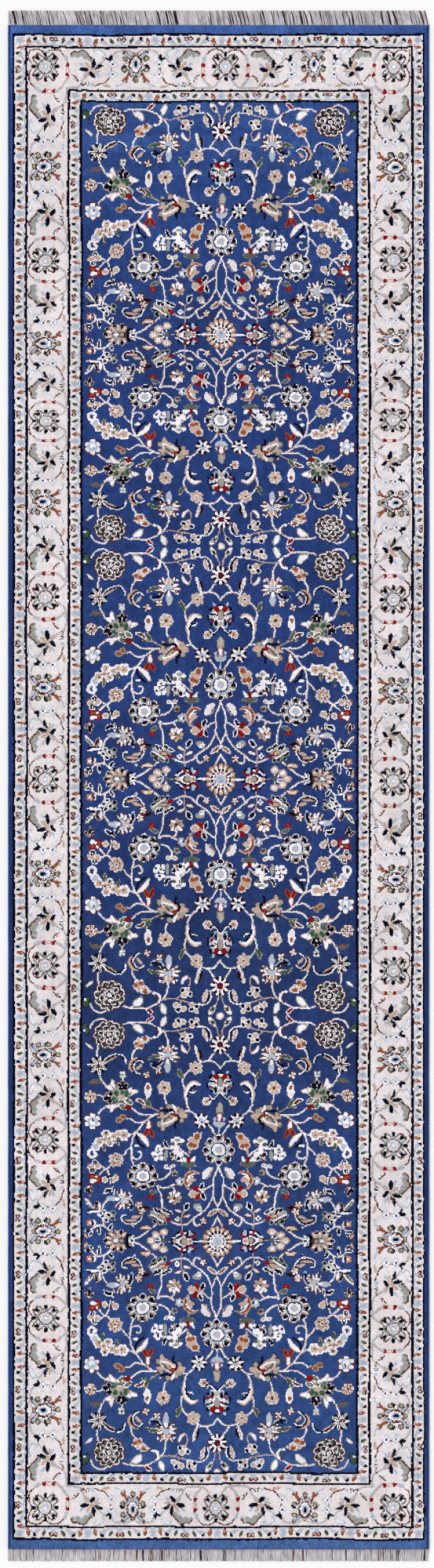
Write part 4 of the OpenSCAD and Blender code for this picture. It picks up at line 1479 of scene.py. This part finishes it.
# ---- Ends -------------------------------------------------------------------------------------
def tubes(lines, radii, sides):
    """Points and faces of round closed tubes. lines is (tube, point, 3), and radii (tube, point)."""
    count, steps, _ = lines.shape
    run = np.gradient(lines, axis=1)
    run /= np.linalg.norm(run, axis=2, keepdims=True)
    across = np.cross(run, (0, 0, 1.0))
    across /= np.maximum(np.linalg.norm(across, axis=2, keepdims=True), 1e-6)
    up = np.cross(across, run)
    angle = np.arange(sides) * 2 * math.pi / sides
    ring = (np.cos(angle)[:, None] * across[:, :, None] + np.sin(angle)[:, None] * up[:, :, None])
    points = lines[:, :, None] + radii[:, :, None, None] * ring
    base = (np.arange(count) * steps * sides)[:, None, None] + (np.arange(steps - 1) * sides)[None, :, None]
    k = np.arange(sides)
    after = (k + 1) % sides
    faces = np.stack([base + k, base + after, base + after + sides, base + k + sides], -1).reshape(-1, 4)
    return points.reshape(-1, 3), faces


# The flat-woven end: how far apart its warps and wefts lie, and how far they rise over each other.
END_WARP, END_WEFT, END_BUMP = 0.9, 0.5, 0.35


def end_weave(node, name):
    """The flat-woven strip: wefts packed over warps, as small over and under bumps."""
    low, high = np.array(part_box(node)) / MM
    across, along = round((high[0] - low[0]) / END_WARP), round((high[1] - low[1]) / END_WEFT)
    x, y = np.meshgrid(np.linspace(low[0], high[0], across + 1), np.linspace(low[1], high[1], along + 1))
    check = (np.indices(x.shape).sum(0) % 2) * END_BUMP
    top = np.stack([x, y, high[2] - END_BUMP + check], 2).reshape(-1, 3)
    under = np.stack([x, y, low[2] + END_BUMP - check], 2).reshape(-1, 3)
    n, w = len(top), across + 1
    row, column = np.meshgrid(np.arange(along) * w, np.arange(across), indexing="ij")
    corner = (row + column).ravel()
    faces = [np.stack([corner, corner + 1, corner + 1 + w, corner + w], 1),
             np.stack([corner, corner + w, corner + 1 + w, corner + 1], 1) + n]
    first, last = np.arange(across), along * w + np.arange(across)
    left, right = np.arange(along) * w, np.arange(along) * w + across
    for a, b in ((first, first + 1), (last + 1, last), (left + w, left), (right, right + w)):
        faces.append(np.stack([b, a, a + n, b + n], 1))
    faces = np.vstack(faces)
    points = np.vstack([top, under])
    return add_piece(name, points, faces, [fringe_cotton], np.zeros(len(faces)), node)


# The length of one turn of the chain.
CHAIN_TURN = 7.0


def end_chain(node, name):
    """Two yarns twined round each other across the end."""
    low, high = np.array(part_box(node)) / MM
    centre, radius = (low + high) / 2, (high[2] - low[2]) / 2
    x = np.linspace(low[0] + 0.4, high[0] - 0.4, 1800)
    phase = x * 2 * math.pi / CHAIN_TURN
    lines = np.stack([np.stack([x, centre[1] + turn * 0.5 * radius * np.cos(phase),
                                centre[2] + turn * 0.45 * radius * np.sin(phase)], 1) for turn in (1, -1)])
    points, faces = tubes(lines, np.full(lines.shape[:2], radius * 0.55), 6)
    return add_piece(name, points, faces, [chain_cotton], np.zeros(len(faces)), node)


FRINGE_R = 0.85
# How far a fringe yarn reaches back under the flat-woven end.
OVERLAP = 3.6
FRINGE_YARNS = 780


def fringe(node, name, end, lean, shade):
    """Loose yarns that lean and bunch, over straight dark ones that are painted shade between them. shade is
    their share.
    """
    low, high = np.array(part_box(node)) / MM
    draw = np.random.default_rng(31 + end)
    start = low[1] if end > 0 else high[1]
    length = high[1] - low[1]
    points_each, sides = 9, 6
    each = (FRINGE_YARNS, 1)
    t = np.linspace(0, 1, points_each)[None, :]
    root = np.linspace(low[0] + 1.5, high[0] - 1.5, FRINGE_YARNS)[:, None] + draw.uniform(-0.6, 0.6, each)
    lift = draw.uniform(0.0, 1.0, each)
    bunch = np.where(lift < shade, 0.0, drift(root, 0 * root, 10, 1.3, 41)) + drift(root, 0 * root, 300, 0.8,
                                                                                    42)
    x = root + (bunch + lean + draw.normal(0, 0.9, each)) * t ** 1.3
    x += draw.normal(0, 0.35, each) * np.sin(t * math.pi * draw.uniform(0.8, 2.2, each))
    x = np.clip(x, low[0] + 0.6, high[0] - 0.6)
    reach = length * np.clip(draw.normal(0.985, 0.012, each), 0.93, 1.0) + OVERLAP
    y = start + end * (reach * t - OVERLAP)
    z = FRINGE_R + 0.9 * lift + (2.2 - 0.9 * lift) * np.clip(1 - 3.2 * t, 0, 1) ** 1.5
    radii = FRINGE_R * draw.uniform(0.75, 1.15, each) * (1 - 0.35 * t ** 4)
    points, faces = tubes(np.stack([x, y, z], 2), radii, sides)
    stain = drift(root[:, 0], 0 * root[:, 0], 13, 1.0, 43 + end) + draw.normal(0, 0.55, FRINGE_YARNS)
    # The dark yarns are painted shade: they darken the gaps between the bunches, where shadow falls.
    tone = np.where(lift[:, 0] < shade, 1, np.where(stain > 1.75, 2, 0))
    slots = np.repeat(tone, (points_each - 1) * sides)
    return add_piece(name, points, faces, [fringe_cotton, fringe_painted_shade, fringe_rust], slots, node)


fringe_cotton = yarn_material("fringe_cotton", (212, 206, 210), (900, 350), 0.1, 0.22, 0.4)
# Painted shade: a dark brown yarn laid low in the fringe's gaps, where shadow falls between the bunches.
fringe_painted_shade = yarn_material("fringe_painted_shade", (48, 30, 30), (900, 350), 0.1, 0.2, 0.4)
fringe_rust = yarn_material("fringe_rust", (120, 68, 54), (900, 350), 0.1, 0.2, 0.4)
chain_cotton = yarn_material("chain_cotton", (206, 188, 204), (500, 500), 0.1, 0.15, 0.8)
for end, word, lean, shade in ((1, "far", -5.5, 0.34), (-1, "near", 0.5, 0.14)):
    end_weave(f"end_weave_{word}", f"end_strip_{word}")
    end_chain(f"end_chain_{word}", f"end_twining_{word}")
    fringe(f"fringe_{word}", f"fringe_{word}_yarns", end, lean, shade)


# ---- Floor, light and camera ------------------------------------------------------------------
def pale_floor():
    """A wide pale floor just below the rug, in metres."""
    reach, level = 14.0, -0.0002
    corners = ((-reach, -reach), (reach, -reach), (reach, reach), (-reach, reach))
    mesh = bpy.data.meshes.new("floor")
    mesh.from_pydata([(x, y, level) for x, y in corners], [], [(0, 1, 2, 3)])
    floor = bpy.data.objects.new("floor", mesh)
    bpy.context.collection.objects.link(floor)
    s = Shader("pale_floor", 0.9, 0.0)
    s.shader.inputs["Base Color"].default_value = (0.93, 0.93, 0.93, 1)
    mesh.materials.append(s.material)


def soft_light():
    """A white surround and one broad lamp from the upper left."""
    world = bpy.data.worlds.new("studio")
    bpy.context.scene.world = world
    world.use_nodes = True
    world.node_tree.nodes["Background"].inputs["Color"].default_value = (1, 1, 1, 1)
    world.node_tree.nodes["Background"].inputs["Strength"].default_value = 0.72
    lamp = bpy.data.lights.new("key", "SUN")
    lamp.energy = 1.35
    lamp.angle = math.radians(25)
    key = bpy.data.objects.new("key", lamp)
    key.rotation_euler = (math.radians(-28), math.radians(-30), 0)
    bpy.context.collection.objects.link(key)


def camera():
    """Straight above the rug, and so far away that its sides look parallel. It sees 3.028 m of length."""
    data = bpy.data.cameras.new("camera")
    data.lens = 200
    data.sensor_width = 36
    data.clip_end = 100
    view = bpy.data.objects.new("camera", data)
    seen_length = 3.028
    view.location = (-0.003, 0.0034, PILE_TOP * MM + seen_length * data.lens / data.sensor_width)
    bpy.context.collection.objects.link(view)
    bpy.context.scene.camera = view


pale_floor()
soft_light()
camera()
bpy.context.scene.view_settings.view_transform = "Standard"
